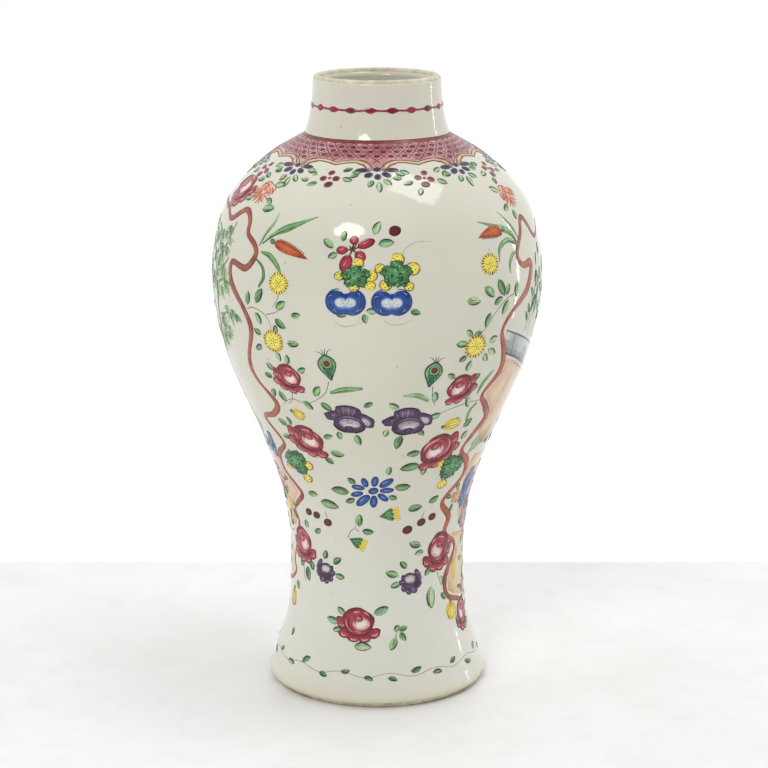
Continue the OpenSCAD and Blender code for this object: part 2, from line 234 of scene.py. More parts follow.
def glaze_material(name, pale, deep):
    """Greyish-white glaze: a little uneven in tone, with a few iron specks and pinholes."""
    sh = Shader(name)
    tone = sh.mix(sh.noise(26, 4, (1, 1, 0.5), 0.6), pale, deep)
    tone = sh.mix(sh.remap(sh.noise(9, 2), 0.35, 0.75, 0, 0.55), tone, "#DAD8C8")
    tone = sh.mix(sh.math("MULTIPLY", sh.specks(130, 0.085), 0.4), tone, "#8F7F62")
    # The glaze is painted whiter over the waist, as painted light thrown up from the table, and creamy where
    # it thickens above the foot
    height = sh.node("SeparateXYZ", {"Vector": sh.place}).outputs["Z"]
    ragged = sh.math("ADD", height, sh.math("MULTIPLY", sh.noise(40, 3), 4 * MM))
    # painted light: the waist is whitened as if lit from the table below
    tone = sh.mix(sh.remap(ragged, 110 * MM, 40 * MM, 0, 0.5), tone, "#ECECE4")
    tone = sh.mix(sh.remap(ragged, 12 * MM, 3 * MM, 0, 0.6), tone, "#D8CFAA")
    gloss = sh.remap(sh.noise(60, 3), 0.3, 0.7, 0.045, 0.11)
    peel = sh.math("ADD", sh.noise(210, 2), sh.math("MULTIPLY", sh.noise(45, 2), 2.2))
    return sh.finish(tone, gloss, peel, 0.00006, 1.52)


def biscuit_material(name, stain):
    """Bare fired clay: buff, gritty, stained with iron, and rubbed paler on its edges."""
    sh = Shader(name)
    tone = sh.mix(sh.remap(sh.noise(260, 5), 0.35, 0.68, 0, 1), "#C6BC9E", "#E6DFCA")
    tone = sh.mix(sh.remap(sh.noise(90, 3, warp=0.7), 0.5, 0.7, 0, 0.75 * stain), tone, "#9C7A4E")
    tone = sh.mix(sh.remap(sh.noise(38, 2), 0.6, 0.7, 0, 0.8 * stain), tone, "#8A4E2C")
    tone = sh.mix(sh.math("MULTIPLY", sh.specks(900, 0.26), 0.75), tone, "#6B5C42")
    edge = sh.node("NewGeometry").outputs["Pointiness"]
    tone = sh.mix(sh.remap(edge, 0.52, 0.6, 0, 0.5), tone, "#E8E0CA")
    rough = sh.remap(sh.noise(300, 4), 0.3, 0.7, 0.62, 0.9)
    return sh.finish(tone, rough, sh.noise(900, 5), 0.00012)


def clay_material(name, code):
    """Fired clay under the glaze, seen only where something is cut away."""
    sh = Shader(name)
    tone = sh.mix(sh.noise(90, 4), code, rgb(code) * 0.86)
    return sh.finish(tone, sh.remap(sh.noise(200, 3), 0.3, 0.7, 0.5, 0.75), sh.noise(600, 4), 0.00005)


def enamel_material(name, gloss=0.12, streak=0.22, grain=900):
    """Fused enamel: the brush's colour, thinner and thicker in streaks, glassy and slightly ridged."""
    sh = Shader(name)
    brushed = sh.noise(grain, 3, (1, 1, 0.35), 0.4)
    pooled = sh.noise(grain * 0.28, 2)
    paint = sh.node("Attribute", attribute_name="paint").outputs["Color"]
    tone = sh.mix(sh.remap(brushed, 0.35, 0.7, 0, streak), paint, np.array([1.0, 0.98, 0.93]), "SOFT_LIGHT")
    tone = sh.mix(sh.remap(pooled, 0.42, 0.7, 0, streak * 1.8), tone, sh.mix(1.0, paint, paint, "MULTIPLY"))
    rough = sh.remap(sh.noise(grain * 0.6, 2), 0.3, 0.7, gloss * 0.7, gloss * 1.6)
    return sh.finish(tone, rough, brushed, 0.00003)


# ---------------------------------------------------------------- turned pieces


def new_object(name, verts, faces, material, smooth=True):
    mesh = bpy.data.meshes.new(name)
    mesh.from_pydata(verts.tolist(), [], faces)
    mesh.validate()
    if smooth:
        mesh.shade_smooth()
    else:
        mesh.shade_flat()
    mesh.materials.append(material)
    piece = bpy.data.objects.new(name, mesh)
    bpy.context.scene.collection.objects.link(piece)
    return piece


def grid_faces(rows, columns, start=0, close_rows=False, close_columns=True):
    """Faces between rows of points, each row a ring that may close on itself."""
    faces = []
    for i in range(rows if close_rows else rows - 1):
        for j in range(columns if close_columns else columns - 1):
            a, b = start + i * columns, start + (i + 1) % rows * columns
            k = (j + 1) % columns
            faces.append((a + j, a + k, b + k, b + j))
    return faces


def lathe(name, rows, material, closed=False):
    """Turns a piece from rows of points, each an (N, 3) ring in metres, listed so that faces look outward."""
    columns = len(rows[0])
    return new_object(name, np.concatenate(rows), grid_faces(len(rows), columns, 0, closed), material)


AROUND = whole_turn(256)
EVEN = 0 * AROUND


def ring(r, z):
    """A level ring, with r and z numbers or one number per point."""
    r, z = np.broadcast_to(r, AROUND.shape), np.broadcast_to(z, AROUND.shape)
    return np.stack([r * np.sin(AROUND), -r * np.cos(AROUND), z], -1) * MM


def glazed_wall(material):
    """The glaze on the outside. Its two ends run a little unevenly, and are rounded over."""
    low = s_at(GLAZE_LOW_Z) + 0.24 * np.sin(2 * AROUND + 1) + 0.12 * np.sin(5 * AROUND)
    low += 0.06 * np.sin(13 * AROUND)
    high = s_at(GLAZE_HIGH_Z) - 0.1 + 0.08 * np.sin(5 * AROUND)
    corner = float(s_at(NECK_Z))  # the shoulder meets the neck in a crease, which needs its own rows
    crease = corner + np.array([-1, -0.5, -0.2, 0, 0.2, 0.5, 1])
    body, neck = np.linspace(s_at(4), corner - 1.6, 240), np.linspace(corner + 1.6, s_at(248), 24)
    places_up = [(low, -GLAZE_T), (low - 0.12, -0.5 * GLAZE_T), (low, 0.0)]
    places_up += [(s + EVEN, 0.0) for s in np.concatenate([body, crease, neck])]
    places_up += [(high, 0.0), (high + 0.12, -0.5 * GLAZE_T), (high, -GLAZE_T)]
    return lathe("glazed_wall", [on_wall(AROUND, s, lift) for s, lift in places_up], material)


def under_glaze(z):
    """A ring of the clay just under the outer glaze."""
    return on_wall(AROUND, s_at(z) + EVEN, -GLAZE_T)


def bare_lip(material):
    """The neck's clay under the glaze, ending in the rounded, unglazed lip."""
    rows = [under_glaze(z) for z in np.linspace(NECK_Z + 1, GLAZE_HIGH_Z, 20)]
    outer, inner = r_at(GLAZE_HIGH_Z) - GLAZE_T, MOUTH_R + GLAZE_T
    chips = 0.06 * np.sin(5 * AROUND) * np.sin(2 * AROUND + 2)
    chips += 0.025 * np.sin(23 * AROUND) * np.sin(7 * AROUND)
    for a in np.radians(np.arange(10, 180, 10)):
        r = (outer + inner) / 2 + (outer - inner) / 2 * math.cos(a)
        rows.append(ring(r, GLAZE_HIGH_Z + LIP_BEAD_R * math.sin(a) + np.minimum(chips, 0) * math.sin(a)))
    rows += [ring(inner, z) for z in np.linspace(GLAZE_HIGH_Z, NECK_Z + 1, 8)]
    return lathe("bare_lip", rows, material, closed=True)


def bare_foot(material):
    """The foot ring: it tucks under to a narrow bare edge that the vase stands on."""
    outer, inner = r_at(0.3) - GLAZE_T, RECESS_R + GLAZE_T
    under = [(inner, 9), (inner, 1.2), (inner + 0.25, 0.5), (inner + 0.8, 0.08), (inner + 1.6, 0.0),
             (outer - 1.2, 0.0), (outer - 0.35, 0.1)]
    rows = [ring(r, z) for r, z in under]
    rows += [under_glaze(z) for z in (0.6, 1.2, 2, 3, 4.5, 6, 7.5, 9)] + [ring(outer - 0.5, 9)]
    return lathe("bare_foot", rows[::-1], material, closed=True)


def mouth_glaze(material):
    """The glaze inside, from just under the lip down to the floor."""
    zs = np.concatenate([np.linspace(GLAZE_HIGH_Z, 232, 10), np.linspace(230, FLOOR_TOP_Z + 3, 90)])
    slope = np.interp(zs, Z_TABLE, SLOPE_TABLE)
    radii = np.maximum(MOUTH_R, r_at(zs) - (WALL_T + GLAZE_T) * np.sqrt(1 + slope**2))
    radii[zs > NECK_Z - 2] = MOUTH_R
    rows = [ring(MOUTH_R + GLAZE_T, GLAZE_HIGH_Z - 0.1)] + [ring(r, z) for r, z in zip(radii, zs)]
    floor_r = radii[-1]
    for r, z in ((0.985, 1.9), (0.95, 1.0), (0.88, 0.5), (0.7, 0.35), (0.35, 0.3), (0.001, 0.3)):
        rows.append(ring(floor_r * r, FLOOR_TOP_Z + z))
    return lathe("mouth_glaze", rows, material)


def recess_glaze(material):
    """The glaze in the hollow under the floor, with a shallow turned step in its middle."""
    rows = [ring(RECESS_R + GLAZE_T, GLAZE_LOW_Z), ring(RECESS_R + 0.1, GLAZE_LOW_Z - 0.1)]
    rows += [ring(RECESS_R, z) for z in (GLAZE_LOW_Z + 0.3, 4, 6, 7.5)]
    for a in np.radians(range(15, 91, 15)):
        rows.append(ring(RECESS_R - 2.2 + 2.2 * math.cos(a), 7.5 + 2 * math.sin(a)))
    for r, z in ((33, 9.5), (24, 9.47), (22, 9.42), (12, 9.4), (5, 9.42), (0.01, 9.45)):
        rows.append(ring(r, z))
    return lathe("recess_glaze", rows, material)


# ---------------------------------------------------------------- enamel: patches and strokes

SKIRT = -0.03  # an enamel edge dips this far under the glaze, so that no gap shows
RIM_GAPS = (0.0, 0.09, 0.26)  # how far in from its rim a patch has its first rings of points
RING_STEP = 1.5  # and how far apart the others are
ACROSS = (-1.0, -0.72, 0.0, 0.72, 1.0)  # the points across a stroke, as shares of half its width


def fade(middle, rim, share=0.0):
    """Stops for a tint that is flat from the middle to a share of the way out, then turns to the rim's."""
    flat = [(0, middle)] if share else []
    return flat + [(share, middle), (1, rim)]


def painted(tint, k):
    """A tint at shares k: one colour, or stops from the middle or start (0) to the rim or end (1)."""
    if not isinstance(tint, list):
        tint = [(0, tint), (1, tint)]
    shares = [share for share, _ in tint]
    tones = np.array([rgb(tone) for _, tone in tint])
    return np.stack([np.interp(k, shares, tones[:, c]) for c in range(3)], -1)


def resample(path, step, closed=False):
    """A smooth curve through chart points (azimuth in radians, wall distance), cut every step mm or so."""
    path = np.asarray(path, float)
    if len(path) == 2:
        path = np.array([path[0], path.mean(0), path[1]])
    if closed:
        # A loop that goes round the vase comes back a whole turn further on
        whole = 2 * math.pi * round((path[-1, 0] - path[0, 0]) / (2 * math.pi))
        path = np.vstack([path[-1] - (whole, 0), path, path[:2] + (whole, 0)])
    else:
        path = np.vstack([2 * path[0] - path[1], path, 2 * path[-1] - path[-2]])
    out = []
    for i in range(1, len(path) - 2):
        a, b = path[i], path[i + 1]
        m0, m1 = (b - path[i - 1]) / 2, (path[i + 2] - a) / 2
        long = math.hypot((b[0] - a[0]) * r_at(z_at(a[1])), b[1] - a[1])
        t = np.linspace(0, 1, max(2, int(math.ceil(long / step)) + 1))[:-1, None]
        out.append((2 * t**3 - 3 * t**2 + 1) * a + (t**3 - 2 * t**2 + t) * m0
                   + (3 * t**2 - 2 * t**3) * b + (t**3 - t**2) * m1)
    if not closed:
        out.append(path[-2][None])
    return np.concatenate(out)


class Spot:
    """A place on the wall with a drawing board laid on it: x to the right and y up, in millimetres."""

    def __init__(self, azimuth, height, turn=0.0, flip=1):
        self.theta, self.s = math.radians(azimuth), float(s_at(height))
        self.cos, self.sin = cos_sin(turn)
        self.flip = flip

    def chart(self, points):
        """Chart points (azimuth in radians, wall distance) of points on the board."""
        p = np.asarray(points, float)
        x = (p[:, 0] * self.cos - p[:, 1] * self.sin) * self.flip
        s = self.s + p[:, 0] * self.sin + p[:, 1] * self.cos
        return pairs(self.theta + x / r_at(z_at(s)), s)

    def dab(self, layer, shape, tint, lift=0.0, thick=None, streak=0.14, **form):
        """An oval patch. Its shape is its middle's x and y, and half its width and height."""
        LAYERS[layer].patch(self.chart(oval(*shape, **form)), tint, lift, thick, streak)

    def fill(self, layer, outline, tint, lift=0.0, thick=None, streak=0.14):
        LAYERS[layer].patch(self.chart(outline), tint, lift, thick, streak)

    def line(self, layer, points, width, tint, lift=0.0, thick=None, **form):
        LAYERS[layer].stroke(self.chart(points), width, tint, lift, thick, **form)

    def ink(self, points, width, tint, lift=0.0, thick=None, **form):
        """A line of fine drawing over the enamels."""
        self.line("drawing", points, width, tint, lift, thick, **form)

    def beside(self, x, y, turn):
        """Another board, with its middle at x, y on this one."""
        theta, s = self.chart([(x, y)])[0]
        return Spot(math.degrees(theta), z_at(s), turn)


def places(points, turn=0.0):
    """Chart points from (azimuth, height) pairs."""
    p = np.asarray(points, float)
    return pairs(np.radians(p[:, 0] + turn), s_at(p[:, 1]))


class Layer:
    """One enamel: its patches and strokes joined in one mesh, each with its own cell of the UV square."""

    def __init__(self, name, nodes, slot, thick=0.14, **look):
        self.name, self.nodes, self.slot, self.thick, self.look = name, nodes, slot, thick, look
        self.verts, self.faces, self.tints, self.uvs, self.cells = [], [], [], [], []
        self.count = 0

    def add(self, rows, lifts, tints, uvs, faces):
        """Adds one patch or stroke from its rows of chart points."""
        chart = np.concatenate(rows)
        self.verts.append(on_wall(chart[:, 0], chart[:, 1], np.concatenate(lifts)))
        self.faces += faces
        self.tints.append(np.clip(np.concatenate(tints), 0, 1))
        self.uvs.append(np.concatenate(uvs))
        self.cells.append(len(chart))
        self.count += len(chart)

    def patch(self, chart, tint, lift=0.0, thick=None, streak=0.14):
        """A filled shape round its middle. Its rim is rounded down to the glaze."""
        thick = self.thick if thick is None else thick
        middle = chart.mean(0)
        radius = r_at(z_at(middle[1]))
        out = chart - middle
        reach = float(np.hypot(out[:, 0] * radius, out[:, 1]).mean())
        inner = max(1, int(math.ceil(reach / RING_STEP)))
        shares = [max(0.2, 1 - gap / reach) for gap in RIM_GAPS]
        shares += [shares[-1] * (1 - i / (inner + 1)) for i in range(1, inner + 1)]
        heights = [SKIRT, lift + 0.6 * thick, lift + 0.92 * thick] + [lift + thick] * inner
        n = len(chart)
        angle = np.arctan2(out[:, 1], out[:, 0] * radius)
        phase, lobes = RNG.uniform(0, 6.28), RNG.choice((7, 9, 11))
        rows, lifts, tints, uvs = [], [], [], []
        span = np.abs(out).max(0) + 1e-9
        for k, h in zip(shares + [0.0], heights + [lift + thick]):
            m = n if k else 1
            rows.append(middle + out[:m] * k)
            lifts.append(np.full(m, h))
            wave = np.sin(lobes * angle[:m] + phase) * 0.6 + np.sin(23 * angle[:m] + 2 * phase) * 0.4
            shade = 1 + streak * k * wave
            tints.append(painted(tint, np.full(m, k)) * shade[:, None])
            uvs.append(0.5 + 0.5 * out[:m] * k / span)
        start = self.count
        faces = grid_faces(len(shares), n, start)
        ahead = chart[1] - chart[0]
        clockwise = out[0][0] * ahead[1] - out[0][1] * ahead[0] < 0
        tip, edge = start + len(shares) * n, start + (len(shares) - 1) * n
        faces += [(edge + j, edge + (j + 1) % n, tip) for j in range(n)]
        if clockwise:
            faces = [f[::-1] for f in faces]
        self.add(rows, lifts, tints, uvs, faces)

    def stroke(self, chart, width, tint, lift=0.0, thick=None, closed=False, step=0.7, edge=None):
        """A line of the brush. width is one number, or several spread evenly along it."""
        thick = self.thick if thick is None else thick
        path = resample(chart, step, closed)
        n = len(path)
        share = np.linspace(0, 1, n)
        widths = np.interp(share, np.linspace(0, 1, np.size(width)), np.atleast_1d(width)) / 2
        ahead = np.roll(path, -1, 0) - np.roll(path, 1, 0)
        if closed:
            ahead[:, 0] = (ahead[:, 0] + math.pi) % (2 * math.pi) - math.pi
        else:
            ahead[0], ahead[-1] = path[1] - path[0], path[-1] - path[-2]
        radius = r_at(z_at(path[:, 1]))
        run = pairs(ahead[:, 0] * radius, ahead[:, 1])
        run /= np.hypot(run[:, 0], run[:, 1])[:, None] + 1e-9
        side = pairs(-run[:, 1] / radius, run[:, 0])
        shoulder = lift + 0.7 * thick
        heights = (SKIRT, shoulder, lift + thick, shoulder, SKIRT)
        phase = RNG.uniform(0, 6.28)
        load = 1 + 0.12 * np.sin(share * 9 + phase) + 0.08 * np.sin(share * 31 + 2 * phase)
        rows, tints, uvs = [], [], []
        for c in ACROSS:
            rows.append(path + side * (c * widths)[:, None])
            tone = edge if edge is not None and abs(c) > 0.5 else tint
            tints.append(painted(tone, share) * load[:, None])
            uvs.append(pairs(share, np.full(n, (c + 1) / 2)))
        faces = [f[::-1] for f in grid_faces(n, len(ACROSS), self.count, closed, False)]
        self.add(np.stack(rows, 1), [np.tile(heights, n)], np.stack(tints, 1), np.stack(uvs, 1), faces)

    def finish(self):
        """Writes the mesh, and declares what the piece is."""
        material = enamel_material(self.name + "_enamel", **self.look)
        piece = new_object(self.name, np.concatenate(self.verts), self.faces, material)
        mesh = piece.data
        tints = np.concatenate(self.tints)
        paint = mesh.color_attributes.new("paint", "FLOAT_COLOR", "POINT")
        paint.data.foreach_set("color", np.hstack([tints, np.ones((len(tints), 1))]).ravel())
        side = math.ceil(math.sqrt(len(self.cells)))
        cell = np.repeat(np.arange(len(self.cells)), self.cells)
        corner = pairs(cell % side, cell // side)
        uv = (corner + 0.08 + 0.84 * np.concatenate(self.uvs)) / side
        loops = np.empty(len(mesh.loops), dtype=np.int32)
        mesh.loops.foreach_get("vertex_index", loops)
        mesh.uv_layers.new(name="OFBake").data.foreach_set("uv", uv[loops].ravel())
        declare(piece, self.slot, *self.nodes)


def declare(piece, slot, *nodes):
    """Says what a piece rides on, and which CAD nodes it stands for, by hiding them. Its slot, the finish, is
    not used.
    """
    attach(piece, "root")
    if nodes:
        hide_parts(*nodes)


LAYERS = {layer.name: layer for layer in (
    Layer("neck_beads", ["neck_bead_line"], "rose_enamel", 0.16),
    Layer("neck_cord", ["neck_cord_line"], "iron_red_enamel", 0.12, gloss=0.25),
    Layer("collar_ground", ["shoulder_trellis_band"], "trellis_pink_enamel", 0.07, streak=0.3, grain=500),
    Layer("collar_trellis", [], "maroon_enamel", 0.06),
    Layer("collar_edge", ["shoulder_edge_line"], "iron_red_enamel", 0.10, gloss=0.25),
    Layer("daisies", ["shoulder_daisies"], "purple_enamel", 0.18),
    Layer("rosettes", ["shoulder_rosettes"], "maroon_enamel", 0.18),
    Layer("garland_leaves", ["shoulder_leaves"], "green_enamel", 0.13),
    Layer("frame_right", ["panel_frame_right"], "iron_red_enamel", 0.12, gloss=0.28, streak=0.35),
    Layer("frame_left", ["panel_frame_left"], "iron_red_enamel", 0.12, gloss=0.28, streak=0.35),
    Layer("garden_ground", ["panel_ground"], "peach_enamel", 0.05, streak=0.3, grain=260),
    Layer("garden_wall", ["panel_terrace_wall"], "grey_enamel", 0.06, streak=0.3, grain=300),
    Layer("garden_foliage", ["panel_trees"], "green_enamel", 0.12),
    Layer("garden_flowers", [], "rose_enamel", 0.13),
    Layer("garden_drawing", [], "maroon_enamel", 0.05),
    Layer("roses", ["rose_blossoms"], "rose_enamel", 0.14, streak=0.3),
    Layer("purple_flowers", ["purple_blossoms"], "purple_enamel", 0.14, streak=0.3),
    Layer("blue_fruit", ["blue_fruits"], "blue_enamel", 0.2, gloss=0.07),
    Layer("blue_petals", ["blue_blossoms"], "blue_enamel", 0.2, gloss=0.07),
    Layer("yellow_flowers", ["yellow_blossoms"], "yellow_enamel", 0.2, streak=0.08),
    Layer("green_sprigs", ["green_clusters"], "green_enamel", 0.2),
    Layer("leaves", ["green_leaves"], "green_enamel", 0.13),
    Layer("pods", ["orange_pods"], "orange_enamel", 0.14, gloss=0.22),
    Layer("berries", ["red_berries"], "maroon_enamel", 0.18),
    Layer("peonies", [], "iron_red_enamel", 0.08, gloss=0.25),
    Layer("drawing", [], "maroon_enamel", 0.05, gloss=0.3),
    Layer("foot_stem", ["foot_garland_stem"], "green_enamel", 0.05),
    Layer("foot_leaves", ["foot_garland_leaves"], "green_enamel", 0.13),
)}

# ---------------------------------------------------------------- flat shapes, in millimetres


def oval(cx, cy, rx, ry, turn=0.0, lobes=0, depth=0.0, points=24):
    a = whole_turn(points)
    r = 1 + depth * np.cos(lobes * a)
    x, y = rx * r * np.cos(a), ry * r * np.sin(a)
    c, s = cos_sin(turn)
    return pairs(cx + x * c - y * s, cy + x * s + y * c)


def arc(cx, cy, rx, ry, start, end, points=9):
    a = np.radians(np.linspace(start, end, points))
    return pairs(cx + rx * np.cos(a), cy + ry * np.sin(a))


def leaf_side(u, width, bend):
    """Height of a leaf's midrib and half its width, at shares u of its length."""
    return bend * 4 * u * (1 - u), width / 2 * np.maximum(0, np.sin(math.pi * u**0.85)) ** 0.62


def leaf_outline(length, width, bend=0.0):
    """A leaf from its stalk at the origin to its tip on +x, bent sideways by bend."""
    u = np.linspace(0, 1, 13)
    rise, half = leaf_side(u, width, bend)
    top, low = pairs(u * length, rise + half), pairs(u * length, rise - half)
    return np.concatenate([low, top[-2:0:-1]])


INK = "#223A2A"
BROWN_INK = "#6A4B40"
# The wash inside a leaf, its shaded side and its rim, from the palest to the darkest
LEAF_HUES = (
    ("#BCD2A4", "#84AC74", "#96BB84"), ("#A6C78C", "#64965A", "#78A868"), ("#A6C8A0", "#5F9468", "#70A078"),
    ("#86AC74", "#457544", "#548450"),
)


def leaf(spot, length, width=None, bend=0.0, hue=None, layer="leaves"):
    """A small washed leaf: a darker side, a heavy dark stroke along it, and at times a ring or a vein."""
    width = width or 1.0 + 0.36 * length
    hue = RNG.choice((0, 1, 1, 2, 3, 3)) if hue is None else hue
    pale, shade, rim_tone = LEAF_HUES[hue]
    spot.fill(layer, leaf_outline(length, width, bend), fade(pale, rim_tone, 0.5), streak=0.3)
    side, kind = RNG.choice((-1, 1)), RNG.random()
    u = np.linspace(0.0, 1.0, 7)
    rise, half = leaf_side(u, width, bend)

    def along(share):
        """A line from the stalk to the tip, a share of the way out from the midrib."""
        return pairs(u * length, rise + side * share * half)

    spot.line(layer, along(0.45)[:6], (0.3, width * 0.3, width * 0.34, 0.3), shade, 0.10, 0.06, step=0.9)
    heavy = 0.32 + 0.05 * length
    spot.ink(along(0.88)[RNG.choice((0, 1)):], (0.2, heavy, heavy * 1.2, 0.25), INK, 0.13, step=0.9)
    if kind < 0.5:
        spot.ink(along(-0.86)[1:RNG.choice((5, 6, 7))], (0.15, 0.4, 0.2), INK, 0.13, step=0.9)
    elif kind < 0.85 and length > 3.2:
        spot.ink(along(-0.1)[1:5], (0.5, 0.4, 0.15), INK, 0.14, step=0.9)


def blade(spot, points, widths, hue=1):
    """A long grass leaf along points, with a dark stroke low on it."""
    pale, deep, _ = LEAF_HUES[hue]
    spot.line("leaves", points, widths, [(0, deep), (0.4, pale), (1, deep)], edge=deep)
    shade = [(x * k + 0.1, y * k - 0.35) for (x, y), k in zip(points, (1, 1, 0.97))]
    spot.ink(shade, (0.15, 0.5, 0.4, 0.1), INK, 0.10)


def blossom_hue(layer, *codes):
    """A blossom's layer and its five tones."""
    return {"layer": layer, **dict(zip(("deep", "mid", "pale", "heart", "ink"), codes))}


ROSE = blossom_hue("roses", "#802430", "#B03F4E", "#D89094", "#ECE0DA", "#5C1620")
PURPLE = blossom_hue("purple_flowers", "#3B2340", "#5C4062", "#9C8AA4", "#D6D2D0", "#27152C")
BLUE = blossom_hue("blue_petals", "#15306F", "#2A529E", "#7C9FCC", "#D2D8DA", "#102758")
DAISY = blossom_hue("daisies", "#2F1D38", "#5D4C78", "#7A7499", "#B9BBD2", "#1F1329")
ROSETTE = blossom_hue("rosettes", "#54182A", "#A0485C", "#B86A78", "#DDB0B8", "#451019")


class Blossom:
    """A flower in the making: shapes given as shares of its half width and half height."""

    def __init__(self, spot, width, height, hue):
        self.spot, self.half, self.hue = spot, np.array([width / 2, height / 2]), hue

    def blot(self, cx, cy, rx, ry, turn=0.0, tones="mid mid deep", lift=0.0, lobes=0, depth=0.0):
        """A filled oval whose tones run from its middle to its rim."""
        tones = [self.hue[tone] for tone in tones.split()]
        outline = oval(0, 0, rx, ry, turn, lobes, depth) + (cx, cy)
        stops = list(zip((0, 0.55, 0.86, 1), tones + tones[-1:]))
        self.spot.fill(self.hue["layer"], outline * self.half, stops, lift, streak=0.3)

    def brush(self, line, widths, tone, lift):
        """A thin stroke in one of the flower's own colours."""
        layer = "drawing" if tone == "ink" else self.hue["layer"]
        self.spot.line(layer, line * self.half, widths, self.hue[tone], lift, 0.05)

    def sweep(self, cx, cy, rx, ry, start, end, width, tone, lift=0.17):
        """A stroke along part of an oval."""
        self.brush(arc(cx, cy, rx, ry, start, end), (0.12, width, width, 0.12), tone, lift)

    def ray(self, x0, y0, x1, y1, width, tone, lift=0.17):
        """A straight stroke that thins towards its end."""
        self.brush(np.array([(x0, y0), (x1, y1)]), (width, width * 0.4), tone, lift)


def garden_rose(spot, width, height):
    """A full-blown rose: loose lower petals, a globe of folded ones, and a pale cup with a tongue."""
    f = Blossom(spot, width, height, ROSE)
    for x, y, rx, ry, turn in (
            (-0.78, 0.02, 0.28, 0.34, 20), (-0.60, -0.56, 0.36, 0.28, -35), (0.74, -0.46, 0.3, 0.26, 40),
            (-0.18, -0.76, 0.34, 0.25, 0), (0.32, -0.74, 0.33, 0.26, 20)):
        grow = RNG.uniform(0.94, 1.12)
        f.blot(x, y, rx * grow, ry * grow, turn, "mid mid deep", 0.01, 3, 0.1)
        f.sweep(x, y, rx * 0.55, ry * 0.55, 190 + turn, 330 + turn, 0.9, "pale", 0.14)
        f.sweep(x, y, rx * 0.35, ry * 0.35, 20 + turn, 160 + turn, 0.8, "deep", 0.14)
        f.sweep(x, y, rx * 0.95, ry * 0.95, 200 + turn, 310 + turn, 0.3, "ink", 0.14)
    f.blot(0.0, 0.15, 0.76, 0.80, RNG.uniform(0, 60), "mid mid deep", 0.06, 5, 0.045)
    for k, start, end, wide, tone in (
            (0.9, 110, 240, 1.3, "deep"), (0.72, 75, 130, 0.9, "pale"), (0.88, 260, 330, 1.2, "deep"),
            (0.8, 20, 75, 1.0, "pale"), (0.66, 140, 215, 1.1, "deep"), (0.82, 180, 235, 0.8, "pale"),
            (0.70, 235, 300, 0.8, "pale"), (0.72, -50, 10, 0.9, "deep")):
        start, end = start + RNG.uniform(-20, 20), end + RNG.uniform(-20, 20)
        f.sweep(0.02, 0.14, 0.74 * k, 0.80 * k, start, end, wide * width / 16, tone, 0.165)
    f.blot(0.13, 0.06, 0.42, 0.42, -12, "heart heart pale", 0.11, 3, 0.07)
    for start in (195, 245, 300):
        f.sweep(0.13, 0.0, 0.31, 0.27, start, start + 40, 0.8, "pale", 0.21)
    f.sweep(0.22, 0.14, 0.24, 0.26, -60, 60, 0.5, "pale", 0.21)
    f.blot(0.02, 0.34, 0.25, 0.20, -8, "pale mid deep", 0.15)
    f.sweep(0.0, 0.16, 0.17, 0.16, 60, 260, 0.8, "mid", 0.22)
    for x, y, rx, ry, start, end in (
            (0.0, 0.14, 0.76, 0.81, 80, 150), (0.0, 0.14, 0.76, 0.81, 220, 320),
            (0.13, 0.06, 0.44, 0.44, 190, 310), (0.02, 0.33, 0.27, 0.21, 190, 300)):
        f.sweep(x, y, rx, ry, start, end, 0.3, "ink", 0.25)


def purple_flower(spot, width, height):
    """A wide purple blossom: a hatched cap, a ruffled wing on either side, and a bowl with rings in front."""
    f = Blossom(spot, width, height, PURPLE)
    f.blot(0.0, 0.14, 0.80, 0.46, 0, "deep mid deep", 0, 5, 0.04)
    f.blot(-0.60, 0.10, 0.42, 0.34, 24, "mid mid deep", 0.03, 5, 0.07)
    for k in (0.78, 0.5, 0.25):
        f.sweep(-0.56, 0.12, 0.36 * k, 0.32 * k, 60, 240, 0.5, "deep" if k > 0.3 else "pale", 0.18)
    f.blot(0.66, 0.00, 0.36, 0.50, 24, "pale mid deep", 0.03, 5, 0.07)
    f.blot(0.70, -0.04, 0.17, 0.30, 24, "heart heart pale", 0.06, 3, 0.1)
    for x in (0.60, 0.70, 0.80):
        f.ray(x - 0.10, -0.34, x + 0.02, 0.18, 0.34, "mid", 0.21)
    f.blot(-0.04, 0.58, 0.54, 0.36, -4, "pale mid deep", 0.04, 7, 0.05)
    for i in range(12):
        x = -0.50 + 0.085 * i
        f.ray(x * 0.7 - 0.02, 0.34, x, 0.84 - 0.5 * x * x, RNG.uniform(0.3, 0.5),
              ("pale", "deep", "mid")[i % 3], 0.19)
    f.sweep(-0.04, 0.57, 0.53, 0.35, 20, 160, 0.4, "ink", 0.2)
    f.blot(0.03, -0.36, 0.66, 0.60, 0, "mid mid deep", 0.08, 7, 0.02)
    for start in (190, 240, 295):
        f.sweep(0.03, -0.38, 0.57, 0.50, start, start + 45, 1.0, "deep", 0.19)
    f.sweep(0.03, -0.26, 0.52, 0.44, 20, 160, 0.5, "pale", 0.19)
    f.blot(0.04, -0.28, 0.45, 0.34, 0, "heart heart pale", 0.11, 3, 0.04)
    for k in (0.9, 0.68, 0.48):
        f.sweep(0.04, -0.44, 0.42 * k, 0.42 * k, 25, 155, 0.42, "mid", 0.22)
    f.blot(0.04, -0.62, 0.22, 0.20, 0, "mid deep deep", 0.14, 5, 0.08)
    for start, end in ((40, 80), (110, 150), (190, 260), (290, 350)):
        f.sweep(0.03, -0.36, 0.66, 0.60, start, end, 0.32, "ink", 0.24)


